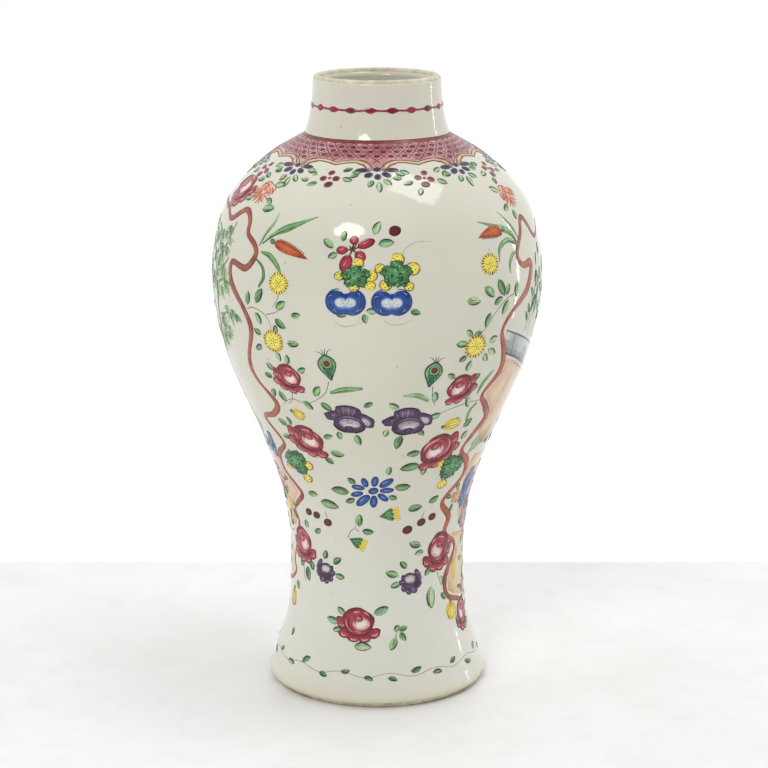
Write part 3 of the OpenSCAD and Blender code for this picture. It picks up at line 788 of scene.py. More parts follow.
def purple_bud(spot, width, height):
    """A half-open purple blossom: a pale cup sunk in a dark, ruffled round of petals."""
    f = Blossom(spot, width, height, PURPLE)
    for x, y, turn, long, wide in (
            (-0.58, 0.22, 80, 0.40, 0.14), (-0.40, 0.46, 55, 0.38, 0.18), (-0.56, -0.20, 130, 0.30, 0.22),
            (-0.34, -0.54, 235, 0.26, 0.24), (0.00, -0.64, 270, 0.26, 0.24), (0.34, -0.50, 310, 0.26, 0.24),
            (0.52, -0.20, 20, 0.30, 0.20), (0.52, 0.10, 65, 0.26, 0.16)):
        f.blot(x, y, long, wide, turn, "mid mid deep")
        f.sweep(x, y, long * 0.6, wide * 0.4, turn, turn + 120, 0.4, "pale", 0.14)
    f.blot(0.0, -0.10, 0.58, 0.58, 0, "mid mid deep", 0.04, 7, 0.04)
    for start in (190, 225, 265, 305):
        f.sweep(0.0, -0.1, 0.44, 0.48, start, start + 26, 0.7, "pale" if start == 225 else "deep", 0.18)
    f.blot(0.08, 0.08, 0.44, 0.38, 20, "heart heart mid", 0.1, 3, 0.06)
    for start, end, k, tone in (
            (200, 330, 0.66, "mid"), (215, 300, 0.42, "mid"), (20, 85, 0.7, "pale"),
            (185, 345, 0.86, "deep")):
        f.sweep(0.08, 0.08, 0.44 * k, 0.38 * k, start, end, 0.6, tone, 0.22)
    f.sweep(0.08, 0.08, 0.46, 0.40, 10, 120, 0.4, "ink", 0.22)


def petal_ring(spot, hue, petals, pale_rim=False, streaked=True):
    """Loose oval petals: (x, y, half length, half width, turn) in millimetres."""
    f = Blossom(spot, 2, 2, hue)
    tones = "deep deep mid" if pale_rim else "mid mid deep"
    for x, y, long, wide, turn in petals:
        f.blot(x, y, long, wide, turn, tones)
        if streaked and long > 1:
            c, s = cos_sin(turn)
            shift, long = RNG.uniform(-0.1, 0.4) * wide, long * RNG.uniform(0.5, 1.0)
            f.ray(x - 0.5 * long * c - shift * s, y - 0.5 * long * s + shift * c,
                  x + 0.5 * long * c - shift * s, y + 0.5 * long * s + shift * c, 0.6, "pale", 0.17)


GOLDEN_TURN = 2.4  # radians from one seed of a head to the next


def chrysanthemum(spot, radius):
    """A lemon-yellow head: short rays round a disc, rust ticks between them, and dark dots in the middle."""
    lemon, amber, rust, dark = "#F5EA68", "#E8D048", "#A8662A", "#2E261C"
    rays, seeds, squat = 20, 22, 0.92
    for i in range(rays):
        a = 2 * math.pi * (i + RNG.uniform(-0.15, 0.15)) / rays
        c, s, r = math.cos(a) * radius, math.sin(a) * radius * squat, RNG.uniform(1.0, 1.14)
        spot.line("yellow_flowers", [(c * 0.55, s * 0.55), (c * r, s * r)], (1.1, 1.1, 0.35),
                  fade(lemon, amber))
    disc = (0, 0, radius * 0.80, radius * 0.74)
    spot.dab("yellow_flowers", disc, [(0, amber), (0.4, lemon), (1, lemon)], 0.03, streak=0.1, lobes=9,
             depth=0.05, points=36)
    for i in range(rays):
        a = 2 * math.pi * (i + 0.5 + RNG.uniform(-0.15, 0.15)) / rays
        c, s, r = math.cos(a) * radius, math.sin(a) * radius * squat, RNG.uniform(0.58, 0.7)
        spot.ink([(c * r, s * r), (c * (r + 0.38), s * (r + 0.38))], (0.2, 0.5), rust if i % 3 else dark,
                 0.21)
    for i in range(seeds):  # dots spread evenly, as on a seed head
        a, r = GOLDEN_TURN * i + RNG.uniform(-0.3, 0.3), 0.56 * radius * math.sqrt((i + 0.4) / seeds)
        dot = (r * math.cos(a), r * math.sin(a) * squat, 0.36, 0.27)
        spot.dab("drawing", dot, dark if i % 3 else rust, 0.22, 0.04, turn=RNG.uniform(0, 180), points=8)


def yellow_bud(spot, length, width):
    """A closed lemon bud, its folds drawn in rust from a green stalk end."""
    rust = "#8F5A2C"
    stops = [(0, "#F7EA6C"), (0.7, "#F1DF5A"), (1, "#DDBD44")]
    spot.dab("yellow_flowers", (length / 2, 0, length / 2, width / 2), stops, lobes=3, depth=0.05)
    board = np.array([length, width])
    for y in (-0.42, -0.16, 0.14, 0.4):
        fold = np.array([(0.06, 0.12 * y), (0.5, y * 0.95), (0.92, 0.66 * y)])
        spot.ink(fold * board, (0.2, 0.4, 0.3, 0.2), rust, 0.2)
    for x, y in ((0.72, -0.3), (0.9, 0.0), (0.74, 0.32)):
        spot.ink(np.array([(x, y), (x + 0.1, y * 1.3)]) * board, (0.5, 0.2), rust, 0.2)
    spot.dab("leaves", (0.02 * length, 0, 1.1, 0.9), LEAF_HUES[3][1], lobes=3, depth=0.1)


def sprig(spot, size, florets, arms=5, turn=0.0, squat=0.9):
    """A ragged, netted green rosette with yellow florets at the tips of its arms."""
    dark, lemon = "#12301D", [(0, "#F7EC6E"), (0.6, "#F1E25C"), (1, "#D8BB40")]
    for x, y, r in florets:
        spot.dab("yellow_flowers", (x, y, r, r * 0.85), lemon, turn=RNG.uniform(0, 90), lobes=5, depth=0.09)
        curl = arc(x, y, r, r * 0.85, RNG.uniform(0, 360), RNG.uniform(470, 600))
        spot.ink(curl, (0.15, 0.42, 0.15), "#5E4A22", 0.14)
        for dx, dy in ((-0.4, 0.15), (0.35, -0.1), (0.0, 0.45), (-0.1, -0.4)):
            spot.dab("drawing", (x + dx * r, y + dy * r, 0.34, 0.28), dark, 0.22, 0.04, points=8)
    a = whole_turn(60)
    arm = 0.68 + 0.27 * np.abs(np.cos(arms * (a - turn) / 2))
    r = size / 2 * (arm + 0.05 * np.sin(17 * a) + 0.03 * np.sin(11 * a))
    outline = pairs(r * np.cos(a), r * np.sin(a) * squat)
    spot.fill("green_sprigs", outline, [(0, "#63A468"), (0.5, "#528F56"), (1, "#3A7040")], 0.03, streak=0.4)
    spot.ink(outline * 0.97, (0.3, 0.7, 0.25, 0.6, 0.3, 0.6, 0.25), dark, 0.16, closed=True)
    for i in range(42):
        b, q = RNG.uniform(0, 6.28), math.sqrt(RNG.uniform(0.02, 0.8)) * size / 2
        x, y, bend = q * math.cos(b) * 0.84, q * math.sin(b) * 0.85 * squat, RNG.uniform(-2, 2)
        if i % 3 == 0:
            spot.dab("green_sprigs", (x, y, 0.7, 0.42), "#7FB888", 0.10, 0.16, turn=RNG.uniform(0, 180),
                     points=10)
        else:
            dx, dy = 1.2 * math.cos(b + bend), 1.2 * math.sin(b + bend)
            spot.ink([(x, y), (x + dx * 0.6, y + dy), (x + dx * 1.2, y + dy * 0.8)], (0.3, 0.7, 0.25), dark,
                     0.25)


def blue_fruit(spot, width=15.4, height=10.4):
    """A two-lobed fruit, deep blue at its rim and washed out to two pale eyes."""
    a = whole_turn(64)

    def two_rounds(split):
        """Rim of two rounds side by side, split apart, seen from the point between them."""
        return split * np.abs(np.cos(a)) + np.sqrt((1 - split) ** 2 - (split * np.sin(a)) ** 2)

    reach = np.where(np.sin(a) > 0, two_rounds(0.46), two_rounds(0.33))
    outline = pairs(reach * np.cos(a) * width / 2, reach * np.sin(a) * height * 0.76)
    deep, mid, wash, eye = "#17357C", "#2C58A8", "#8FAFD2", "#D3D8D6"
    stops = [(0, wash), (0.34, wash), (0.5, mid), (0.68, deep), (0.85, mid), (1, deep)]
    spot.fill("blue_fruit", outline, stops, streak=0.4)
    for side in (-1, 1):
        pupil = (side * width * 0.11, -0.3, width * 0.155, height * 0.21)
        spot.dab("blue_fruit", pupil, fade(eye, wash, 0.6), 0.02, lobes=2, depth=0.1)
        for k, wide, tone in ((0.50, 0.5, mid), (0.68, 0.8, deep), (0.93, 0.7, deep)):
            half = arc(side * width * 0.17, 0, width * 0.34 * k, height * 0.5 * k, -95, 95, 11) * (side, 1)
            half += (side * width * 0.17 * (1 - side), 0)
            spot.line("blue_fruit", half, (0.2, wide, wide, 0.2), tone, 0.04)
        for x, y in ((0.08, 0.5), (0.14, -0.9), (0.05, -0.6)):
            spot.dab("blue_fruit", (side * x * width, y, 0.6, 0.45), wash, 0.05, turn=30 * side, points=10)
    for x, y, turn in ((-6.2, 1.6, 120), (5.0, 3.0, 40), (-3.6, -3.4, 200), (4.4, -3.0, 320)):
        glint = arc(x * 0.86, y * 0.86, 1.2, 0.9, turn - 50, turn + 50, 5)
        spot.line("blue_fruit", glint, (0.1, 0.5, 0.1), wash, 0.08)
    cleft = [(0, height * 0.30), (0.2, height * 0.16), (0, height * 0.06)]
    spot.line("blue_fruit", cleft, (1.5, 0.9, 0.3), deep, 0.06)


def berry(spot, radius):
    stops = [(0, "#7A2A34"), (0.4, "#66202A"), (1, "#4A141C")]
    spot.dab("berries", (0, 0, radius * 1.12, radius * 0.95), stops, streak=0.1, turn=20)


def pod(spot, length, width, bend):
    """A feathery orange pod: dark ticks along its upper edge, and a green stalk end."""

    def side(u):
        """Height of the pod's middle line and half its width, at shares u of its length."""
        return bend * 4 * u * (1 - u), width / 2 * np.sin(math.pi * u**0.62) ** 0.8

    u = np.linspace(0, 1, 15)
    rise, half = side(u)
    low, top = pairs(u * length, rise - half), pairs(u * length, rise + half)
    stops = [(0, "#CF7040"), (0.5, "#C65F30"), (1, "#A3441F")]
    spot.fill("pods", np.concatenate([low, top[-2:0:-1]]), stops, streak=0.4)
    dark, ticks = "#6E3014", 13
    for i in range(ticks):
        share = 0.06 + 0.82 * i / ticks
        x, (y, edge) = share * length, side(share)
        spot.ink([(x, y + edge - 1.0), (x + 0.4, y + edge + 0.5)], (0.25, 0.5), dark, 0.13)
        if i % 2:
            spot.ink([(x, y - edge * 0.3), (x + 0.9, y - edge * 0.5)], (0.2, 0.4), dark, 0.15)
    spot.dab("leaves", (-0.7, bend * 0.3, 1.4, 1.1), fade("#6FA266", "#2F6038"))


def eye_bud(spot, length=11.0, width=7.4):
    """A drop-shaped green bud with a dark red eye in it, feelers above, and its point below."""
    u = np.linspace(0, 1, 15)
    half = width / 2 * np.sin(math.pi * u**1.5) ** 0.75
    left, right = pairs(-half, -length * (0.55 - u)), pairs(half, -length * (0.55 - u))
    outline = np.concatenate([right, left[-2:0:-1]])
    dark, stops = "#173822", [(0, "#5E9E73"), (0.6, "#6FAE80"), (0.85, "#8CC29A"), (1, "#3E8558")]
    spot.fill("green_sprigs", outline, stops, thick=0.13, streak=0.3)
    spot.dab("green_sprigs", (0, -2.3, 1.9, 2.2), fade("#2F7048", "#4A9060"), 0.05, turn=90, lobes=3,
             depth=0.06)
    spot.dab("green_sprigs", (0.1, 1.3, 2.3, 2.2), fade("#9FB25E", "#7FA05A"), 0.05)
    spot.dab("berries", (0.1, 1.3, 1.6, 1.55), fade("#7A2630", "#561620"), 0.09)
    spot.ink(outline * 0.96, (0.9, 0.4, 0.7, 0.5, 0.9), dark, 0.14, closed=True)
    spot.ink(arc(0.1, 1.3, 2.3, 2.2, 150, 400), (0.2, 0.45, 0.2), dark, 0.24)
    for x, y in (
            (-1.9, -0.6), (-1.0, -1.6), (0.2, -1.4), (1.3, -0.9), (-0.6, -3.0), (0.6, -2.8), (0.0, -4.0),
            (1.9, 0.2)):
        spot.ink([(x, y), (x + 0.6, y - 0.5), (x + 0.1, y - 1.1)], (0.6, 0.5, 0.2), dark, 0.25)
    for dx, dy in ((-3.0, 2.2), (-1.0, 2.8), (0.8, 3.0), (3.0, 2.6)):
        spot.ink([(dx * 0.2, 4.4), (dx * 0.5, 4.3 + dy * 0.7), (dx, 4.3 + dy)], (0.5, 0.2), dark)


def stem(points, turn=0.0, width=(0.36, 0.3, 0.16), tone=BROWN_INK):
    LAYERS["drawing"].stroke(places(points, turn), width, tone, 0.0, 0.06)


def peony(spot, size):
    """A blossom drawn in iron-red lines over a thin orange wash: curled petals above, long ones below."""
    line = "#BE5230"
    for a in (20, 75, 130, 180, 230, 300):
        c, s = cos_sin(a)
        petal = (c * size * 0.26, s * size * 0.24, size * 0.2, size * 0.13)
        spot.dab("peonies", petal, "#E2A98C", thick=0.05, streak=0.3, turn=a)
    for k in (1.0, 0.8, 0.6, 0.4, 0.24):
        for start in (-20, 70, 150):
            a0 = start + RNG.uniform(-15, 15)
            edge = arc(size * 0.05, 0, size / 2 * k, size * 0.42 * k, a0, a0 + RNG.uniform(60, 85))
            edge[3:6] *= 1.1
            spot.line("peonies", edge, (0.15, 0.65, 0.5, 0.15), line, 0.06)
    for a in range(195, 340, 22):
        c, s = (share * size for share in cos_sin(a))
        bow = RNG.uniform(-0.6, 0.6)
        petal = [(c * 0.12, s * 0.12), (c * 0.34 + bow, s * 0.34), (c * 0.56, s * 0.5)]
        spot.line("peonies", petal, (0.2, 0.6, 0.35), line, 0.06)


def green_and_yellow_bud(spot, size):
    """A small sheathed bud: a netted green wedge that opens into pointed yellow petals."""
    for turn, y in ((32, 0.26), (8, 0.08), (-14, -0.12), (-38, -0.28)):
        petal = (size, size * y, size * 0.29, size * 0.18)
        spot.dab("yellow_flowers", petal, fade("#F5E866", "#E2C74C"), turn=turn, lobes=3, depth=0.08)
        spot.ink(np.array([(0.9, 0.9 * y), (1.12, 1.2 * y)]) * size, (0.2, 0.32, 0.2), "#8A6A2A", 0.2)
    fan = np.array([(0, 0), (0.3, 0.2), (0.6, 0.4), (0.8, 0.46), (0.92, 0.3), (0.84, 0.16), (0.98, 0.0),
                    (0.84, -0.14), (0.92, -0.32), (0.76, -0.44), (0.55, -0.36), (0.28, -0.18)])
    spot.fill("green_sprigs", fan * size, fade("#6FAA72", "#3A7A48"), 0.03, streak=0.35)
    for x, y in (
            (0.2, 0.0), (0.36, 0.14), (0.36, -0.12), (0.52, 0.0), (0.55, 0.24), (0.56, -0.2), (0.72, 0.06),
            (0.74, 0.3), (0.72, -0.28)):
        net = np.array([(x, y), (x + 0.12, y + 0.05), (x + 0.16, y - 0.03)])
        spot.ink(net * size, (0.4, 0.65, 0.25), "#17351F", 0.22)


# ---------------------------------------------------------------- the flower reserves

# (azimuth, height, width, height of the flower, turn, which way round)
ROSES = [
    (-34.2, 138.6, 15.0, 12.5, -16, 1), (-33.2, 111.5, 19, 14, -24, 1), (-56, 62, 14.5, 15.5, 6, 1),
    (-12, 33, 17.5, 14.5, 0, 1), (33, 134.3, 15.5, 12.5, 30, -1), (29.8, 107.5, 20, 15, 34, -1),
    (43.8, 61, 15, 17, -4, -1), (-71, 207, 19, 15, 30, 1), (70, 30, 12, 14, 0, -1),
]
PURPLES = [(-11.5, 123, 19.5, 14, -6, 1), (12.6, 122, 20, 14, 3, 1)]
PURPLE_BUDS = [(-36, 53.5, 12, 12.5, 8, 1), (22.5, 50.5, 12.5, 13, -10, -1)]
# (azimuth, height, radius)
CHRYSANTHEMUMS = [(-34.5, 176.5, 4.3), (-38, 153.3, 4.7), (41.6, 182.8, 4.2), (36.3, 151.4, 5.0)]
# (azimuth and height of the stalk end, tilt, length, width)
YELLOW_BUDS = [
    (-37, 123.9, -22, 6.2, 5.0), (29.4, 117.8, 12, 8.2, 5.6), (55.8, 37.6, -86, 7.6, 7.4),
    (-70, 41, -90, 8, 5),
]
# (azimuth, height, radius)
BERRIES = [
    (6.3, 197.8, 2.15), (-46, 77.5, 1.7), (-39.5, 77, 1.7), (-31.5, 74.7, 1.8), (19, 72.6, 1.95),
    (28, 75.2, 1.8), (35.5, 76.8, 1.7),
]
# (azimuth, height, size)
PEONIES = [(-54.0, 208, 11), (64.5, 205.5, 11)]
# (azimuth and height of the stalk end, direction, length)
LEAVES = [
    (-49, 166, 80, 5.5), (-44.5, 167.5, 60, 7), (-35.5, 166.5, 35, 5.5), (-36, 162.5, -35, 5.5),
    (-29.5, 164.5, 10, 4), (-45, 163.5, -60, 5), (31, 170, -5, 6.5), (38.5, 174.5, -40, 6.5),
    (45, 176.5, -65, 7.5), (43, 167, 25, 5), (50, 167.5, -120, 6), (41.5, 164, -110, 6),
    (55.5, 174, -100, 6), (38, 157, 205, 4), (48.5, 170, 60, 4.5), (-36.5, 156.5, 85, 3.5),
    (-43.5, 155, 150, 4), (-32, 153.5, 0, 5), (-44, 150.5, -150, 4), (-37.5, 149, -70, 4),
    (32.5, 153, 175, 5), (34, 155.5, 130, 4), (42.5, 152, 20, 4.5), (42.5, 149, -30, 5),
    (41, 147.5, -60, 4), (33, 147.5, -150, 3.5), (34, 141.5, 70, 4.5), (-40.5, 141, 140, 4),
    (-42, 138, 170, 4), (-33.5, 144.5, 85, 4), (-29.5, 142, 25, 4), (29.5, 139, 150, 4), (38, 137, 40, 4),
    (-24, 132, 60, 5.5), (-43, 132.5, -110, 4), (-40.5, 132, -60, 5), (22.5, 129.5, 95, 5),
    (38, 129.5, -70, 5), (-22, 129.5, -40, 5), (-29.5, 129.5, -50, 5), (-5, 128.5, 30, 4),
    (8.5, 128, 150, 4.5), (-42.5, 116.5, 150, 5), (-40, 117, 110, 4), (-43.5, 111.5, 185, 4),
    (-24, 113.5, 20, 4), (-22, 107.5, -10, 5.5), (-25.5, 104.5, -35, 4), (-16.5, 117, -80, 3.5),
    (-9, 116, -75, 5), (4.5, 118.5, -110, 3.5), (18, 117.5, -50, 3.5), (10.5, 115.5, -105, 6.5),
    (26.5, 124, -160, 5), (20.5, 107.5, 190, 5.5), (21.5, 101.5, 190, 8), (24.5, 100.5, -100, 4),
    (41, 116, 50, 5), (42.5, 110.5, 60, 4), (44.5, 96.5, 65, 5), (-15.5, 89.5, 175, 7.5),
    (-12.5, 86.5, 200, 4), (-11.5, 93.5, 140, 4), (9.5, 92, 0, 6.5), (5.5, 98, 80, 4), (6.5, 88, -20, 3.5),
    (-43, 86, 5, 5), (-34.5, 83.5, -10, 8), (18.5, 81.5, 10, 6), (31.5, 83.5, 25, 5), (-11, 74.5, 85, 5.5),
    (-9, 72.5, -5, 4.5), (-43, 69, 30, 4), (-50, 70, 90, 3.5), (-37, 58.5, 70, 4), (-29.5, 57, 40, 4.5),
    (-28, 52.5, -10, 4), (-48.5, 56, -70, 4), (-58, 56, -100, 4), (-52, 53, -80, 6), (29, 65, 160, 5.5),
    (31.5, 62, 190, 4), (38.5, 54.5, -140, 4.5), (46.5, 50, -90, 4), (19.5, 56, 130, 4), (14, 53, 160, 5.5),
    (15, 50, 200, 4), (37.5, 46.5, -90, 9), (-21, 36.5, 140, 4), (-25, 33, 170, 5.5),
    (-23.5, 30.5, 200, 3.5), (-14, 24, 0, 7), (-2, 37.5, 25, 6.5), (50.5, 39.5, 130, 4),
    (61.5, 30.5, -70, 5), (-65.5, 45, -60, 4), (-13.5, 167, -10, 4), (-4, 167, -80, 3.5), (0, 168, 175, 4),
    (11, 168, -15, 4), (-18.5, 194.5, -40, 5), (-12, 194, 75, 4), (-13.5, 189.5, -150, 4),
    (-1, 196.5, 65, 5.5), (0.5, 193, 5, 6), (-59.5, 212, -170, 4.5), (-58.5, 205.5, 200, 4),
    (-49.5, 211, 10, 5.5), (-49, 206, -25, 4), (-48.5, 202.5, 10, 6), (59.5, 207.5, 150, 5),
    (60, 202.5, 205, 4.5), (62, 200.5, -90, 4), (-64, 25, -95, 3.5), (14, 30.5, 20, 3.5),
    (14.5, 29.5, -60, 4), (12, 27.5, -120, 5.5), (11.5, 30, 60, 3),
]
# (azimuth and height of the root, then points from it, widths, colour)
BLADES = [
    (-43.5, 190.5, [(0, 0), (6, 4.5), (14, 8.5), (22, 12.5)], (0.5, 1.8, 3.4, 1.8, 0.3), 1),
    (-45, 189.5, [(0, 0), (2.4, 4.5), (5.5, 9.5), (6.2, 14)], (0.4, 1.1, 1.6, 1.2, 0.2), 0),
    (-43.5, 187.3, [(0, 0), (5, -1.2), (9.5, -5), (11.5, -9.5)], (1.0, 2.6, 2.2, 0.3), 1),
    (-46, 184.8, [(0, 0), (4.4, -3), (5.6, -7), (3.4, -11)], (0.5, 1.4, 1.9, 0.9), 3),
    (59, 187, [(0, 0), (-5, 6.2), (-13, 9.6), (-21, 12.4)], (0.5, 2.4, 3.0, 1.5, 0.3), 1),
    (59.5, 190, [(0, 0), (-3, 5), (-7, 10), (-9, 12)], (0.5, 1.6, 1.4, 0.3), 0),
    (58, 187.8, [(0, 0), (-6, 2.6), (-11.5, 0.5), (-13.5, -5.2)], (0.9, 2.4, 2.1, 0.3), 1),
    (57, 185.6, [(0, 0), (-3.6, -1.2), (-6, -4.4), (-6.4, -8)], (0.8, 2.0, 1.6, 0.3), 1),
    (-17.6, 134.2, [(0, 0), (5, 1.6), (9, 2.2), (13, 2.6)], (1.3, 2.8, 2.6, 1.2), 1),
    (20, 130.4, [(0, 0), (-4, 2.6), (-7, 3.2), (-10.5, 3.0)], (1.6, 2.7, 2.2, 0.7), 0),
    (44.2, 126.4, [(0, 0), (-2.6, -3.4), (-2.4, -8), (-1.2, -10)], (0.6, 1.6, 1.7, 0.6), 1),
    (42.4, 130.6, [(0, 0), (1.6, 4.4), (5.4, 8.6), (6.4, 9.4)], (0.7, 2.2, 1.7, 0.4), 1),
]
# Lines through (azimuth, height) points
STEMS = [
    [(-49, 164.5), (-46, 165.4), (-41.5, 164), (-38.6, 160.6), (-38.4, 157)],
    [(-34.4, 172.2), (-35, 170), (-37, 167)], [(-40, 163.5), (-36, 165), (-33.5, 167)],
    [(53, 169.6), (49, 168.2), (44.5, 164.6), (40, 158.6), (38, 156.4)],
    [(-34, 132.5), (-35, 129), (-37.5, 127)], [(-17.5, 139), (-19.5, 134), (-23.5, 130.6), (-28, 128.2)],
    [(-28, 128), (-35, 129.4), (-40.5, 126.4)], [(20.8, 136.6), (21.4, 132), (23.4, 127.6)],
    [(46.5, 127.2), (38, 127), (30, 125.4), (25, 123.6)], [(38, 127), (36.4, 130.4)],
    [(-18.5, 69.2), (-16.4, 72), (-12.6, 74.6)], [(-13.6, 73.4), (-10.8, 72.2)],
    [(-57, 53), (-55.6, 48.6), (-54.6, 46)], [(42.4, 54), (44, 50), (45.8, 48)], [(11.2, 27), (13.2, 31.2)],
    [(28, 77.4), (29.6, 80)], [(-31.5, 76.8), (-32.6, 79.6)],
]
FAINT_STEMS = [
    [(-14, 163.6), (-11, 162), (-7, 163), (-5.6, 165.8)], [(2, 164.6), (5, 162.8), (9, 163.2), (12, 164.8)],
    [(8.4, 188.6), (10, 191.6), (14, 193.6), (19, 193.6)], [(-6, 163), (-3, 165), (-2.6, 167)],
]
# (x, y, half length, half width, turn)
FIVE_PETALS = [
    (0.6, 3.5, 1.7, 1.8, 90), (5.2, 2.3, 3.5, 1.8, 22), (3.1, -2.4, 2.3, 2.0, -35),
    (-2.3, -5.2, 3.5, 2.4, 66), (-3.9, -0.3, 2.3, 1.7, 8),
]
BLUE_PETALS = [
    (0.7, 4.6, 2.6, 1.5, 80), (5.2, 3.8, 3.4, 1.6, 35), (-3.3, 4.0, 2.4, 1.4, 110),
    (-6.0, 1.5, 2.7, 1.3, -8), (-6.5, -1.7, 2.6, 1.3, 14), (-4.1, -4.6, 3.6, 1.8, 45),
    (0.1, -5.0, 2.9, 1.6, 85), (3.8, -3.1, 2.6, 1.4, -40), (5.3, 0.2, 2.9, 1.3, 4), (0, 0, 2.1, 1.6, 20),
]


def reserve(turn):
    """The white field between two panels, painted round the azimuth turn."""

    def at(azimuth, height, tilt=0.0, flip=1):
        return Spot(azimuth + turn, height, tilt, flip)

    for points in STEMS:
        stem(points, turn)
    for points in FAINT_STEMS:
        stem(points, turn, (0.2, 0.3, 0.12), "#A9AE9C")
    for rows, paint in ((ROSES, garden_rose), (PURPLES, purple_flower), (PURPLE_BUDS, purple_bud)):
        for azimuth, height, width, tall, tilt, flip in rows:
            paint(at(azimuth, height, tilt * flip, flip), width, tall)
    for azimuth, height, radius in CHRYSANTHEMUMS:
        chrysanthemum(at(azimuth, height), radius)
    for azimuth, height, tilt, length, width in YELLOW_BUDS:
        yellow_bud(at(azimuth, height, tilt), length, width)
    for azimuth, height, radius in BERRIES:
        berry(at(azimuth, height), radius)
    for azimuth, height, tilt, length in LEAVES:
        leaf(at(azimuth, height, tilt), length, bend=RNG.uniform(-0.3, 0.3))
    for azimuth, height, points, widths, hue in BLADES:
        blade(at(azimuth, height), points, widths, hue)
    for azimuth, height, size in PEONIES:
        peony(at(azimuth, height), size)
    for azimuth in (-10.3, 4.8):
        blue_fruit(at(azimuth, 171.6))
    petal_ring(at(-8.4, 191.0), ROSE, FIVE_PETALS)
    for tip in ((0.5, 2.6), (3.2, 1.3), (2.2, -1.6), (-1.2, -2.8), (-2.6, -0.2), (-1.2, 1.4), (1.6, 2.2)):
        at(-8.4, 191.0).ink([(0, 0), tip], (0.8, 0.35), ROSE["ink"], 0.2)
    petal_ring(at(-2, 90.6), BLUE, BLUE_PETALS)
    sprig(at(-7, 181.2), 12.4,
          [(0.6, 4.9, 2.3), (-6.4, 0.0, 1.8), (5.9, 0.3, 2.3), (5.4, -3.5, 2.1), (-0.6, -4.0, 2.0)],
          turn=1.57, squat=0.76)
    sprig(at(6.5, 182.1), 13.4,
          [(0.3, 5.4, 2.7), (-6.2, 2.2, 2.0), (6.1, 1.8, 2.8), (-4.2, -4.0, 2.4), (4.6, -4.8, 1.9)],
          turn=1.57, squat=0.84)
    sprig(at(-45, 100), 14, [(6.0, -0.6, 2.4), (-5.4, -3.0, 1.9), (3.6, -7.2, 2.2)], 3, 0.9)
    sprig(at(41.5, 98.5), 14, [(-5.8, 2.0, 2.2), (-2.4, -8.0, 2.4)], 3, 2.2)
    pod(at(-38.3, 191.4, -17), 17, 4.2, 0.3)
    pod(at(50.6, 194.4, 186), 14, 4.4, -0.9)
    eye_bud(at(-17.5, 145.4, 10))
    eye_bud(at(20.3, 142.2, -10))
    green_and_yellow_bud(at(1.2, 79, 10), 6.6)
    green_and_yellow_bud(at(-17.8, 69, -24), 6.0)


# ---------------------------------------------------------------- neck, collar and garland

FULL_TURN = whole_turn(360)


def neck_lines():
    """The beaded line round the neck, and the cord line at its foot."""
    rose, dark = "#9A2C45", "#661A2B"
    beads, line_z, cord_z, half = 20, 238.4, 226.6, 4.3
    for i in range(beads):
        tone = dark if RNG.random() < 0.4 else rose
        spot = Spot((i + 0.78) * 360 / beads + RNG.uniform(-1, 1), line_z + RNG.uniform(-0.15, 0.15))
        line = [(-half, RNG.uniform(-0.1, 0.1)), (-2.2, 0), (0, 0), (2.2, 0),
                (half, RNG.uniform(-0.1, 0.1))]
        wide = RNG.uniform(2.4, 3.0)
        widths = (0.75, 0.8, 0.85, 1.9, wide, wide, 1.7, 0.85, 0.8, 0.75)
        spot.line("neck_beads", line, widths, tone, step=0.35, edge=rose)
    cord = pairs(FULL_TURN, s_at(cord_z) + 0.1 * np.sin(3 * FULL_TURN))
    LAYERS["neck_cord"].stroke(cord, 1.9, "#8A4030", 0.06, closed=True, edge="#743026")


BAYS = 8
BAY = 2 * math.pi / BAYS
COLLAR_TOP_S = s_at(226.45)


def collar_edge_s(theta):
    """Wall distance of the collar's lower edge: a point over each daisy, and a shallow lobe between."""
    u = np.abs((theta / BAY + 0.5) % 1 - 0.5)
    high, point, lobe = s_at(221.2), s_at(218.9), s_at(220.3)
    near_point, near_lobe = np.maximum(0, 1 - 4.4 * u) ** 2, np.maximum(0, 4 * u - 1) ** 2
    return high + (point - high) * near_point + (lobe - high) * near_lobe


def collar_ground():
    """The mottled pink ground of the collar."""
    low, count, rings = collar_edge_s(FULL_TURN), len(FULL_TURN), 9
    pale, mid, dark = rgb("#DCAEAE"), rgb("#BC707C"), rgb("#9A4450")
    layer, faces = LAYERS["collar_ground"], [f[::-1] for f in grid_faces(rings, count)]
    rows, lifts, tints, uvs = [], [], [], []
    for t in np.linspace(0, 1, rings):
        rows.append(pairs(FULL_TURN, COLLAR_TOP_S + (low - COLLAR_TOP_S) * t))
        lifts.append(np.full(count, layer.thick if 0 < t < 1 else SKIRT))
        wave = 0.5 + 0.35 * np.sin(9 * FULL_TURN + 3 * t) * np.sin(4 * FULL_TURN + 1)
        wave = (wave + 0.25 * np.sin(47 * FULL_TURN + 5 * t) * np.sin(29 * FULL_TURN - 7 * t))[:, None]
        tints.append(pale * (1 - wave) * 0.7 + mid * 0.3 + dark * wave * 0.7)
        uvs.append(pairs(np.linspace(0, 1, count), np.full(count, t)))
    layer.add(rows, lifts, tints, uvs, faces)


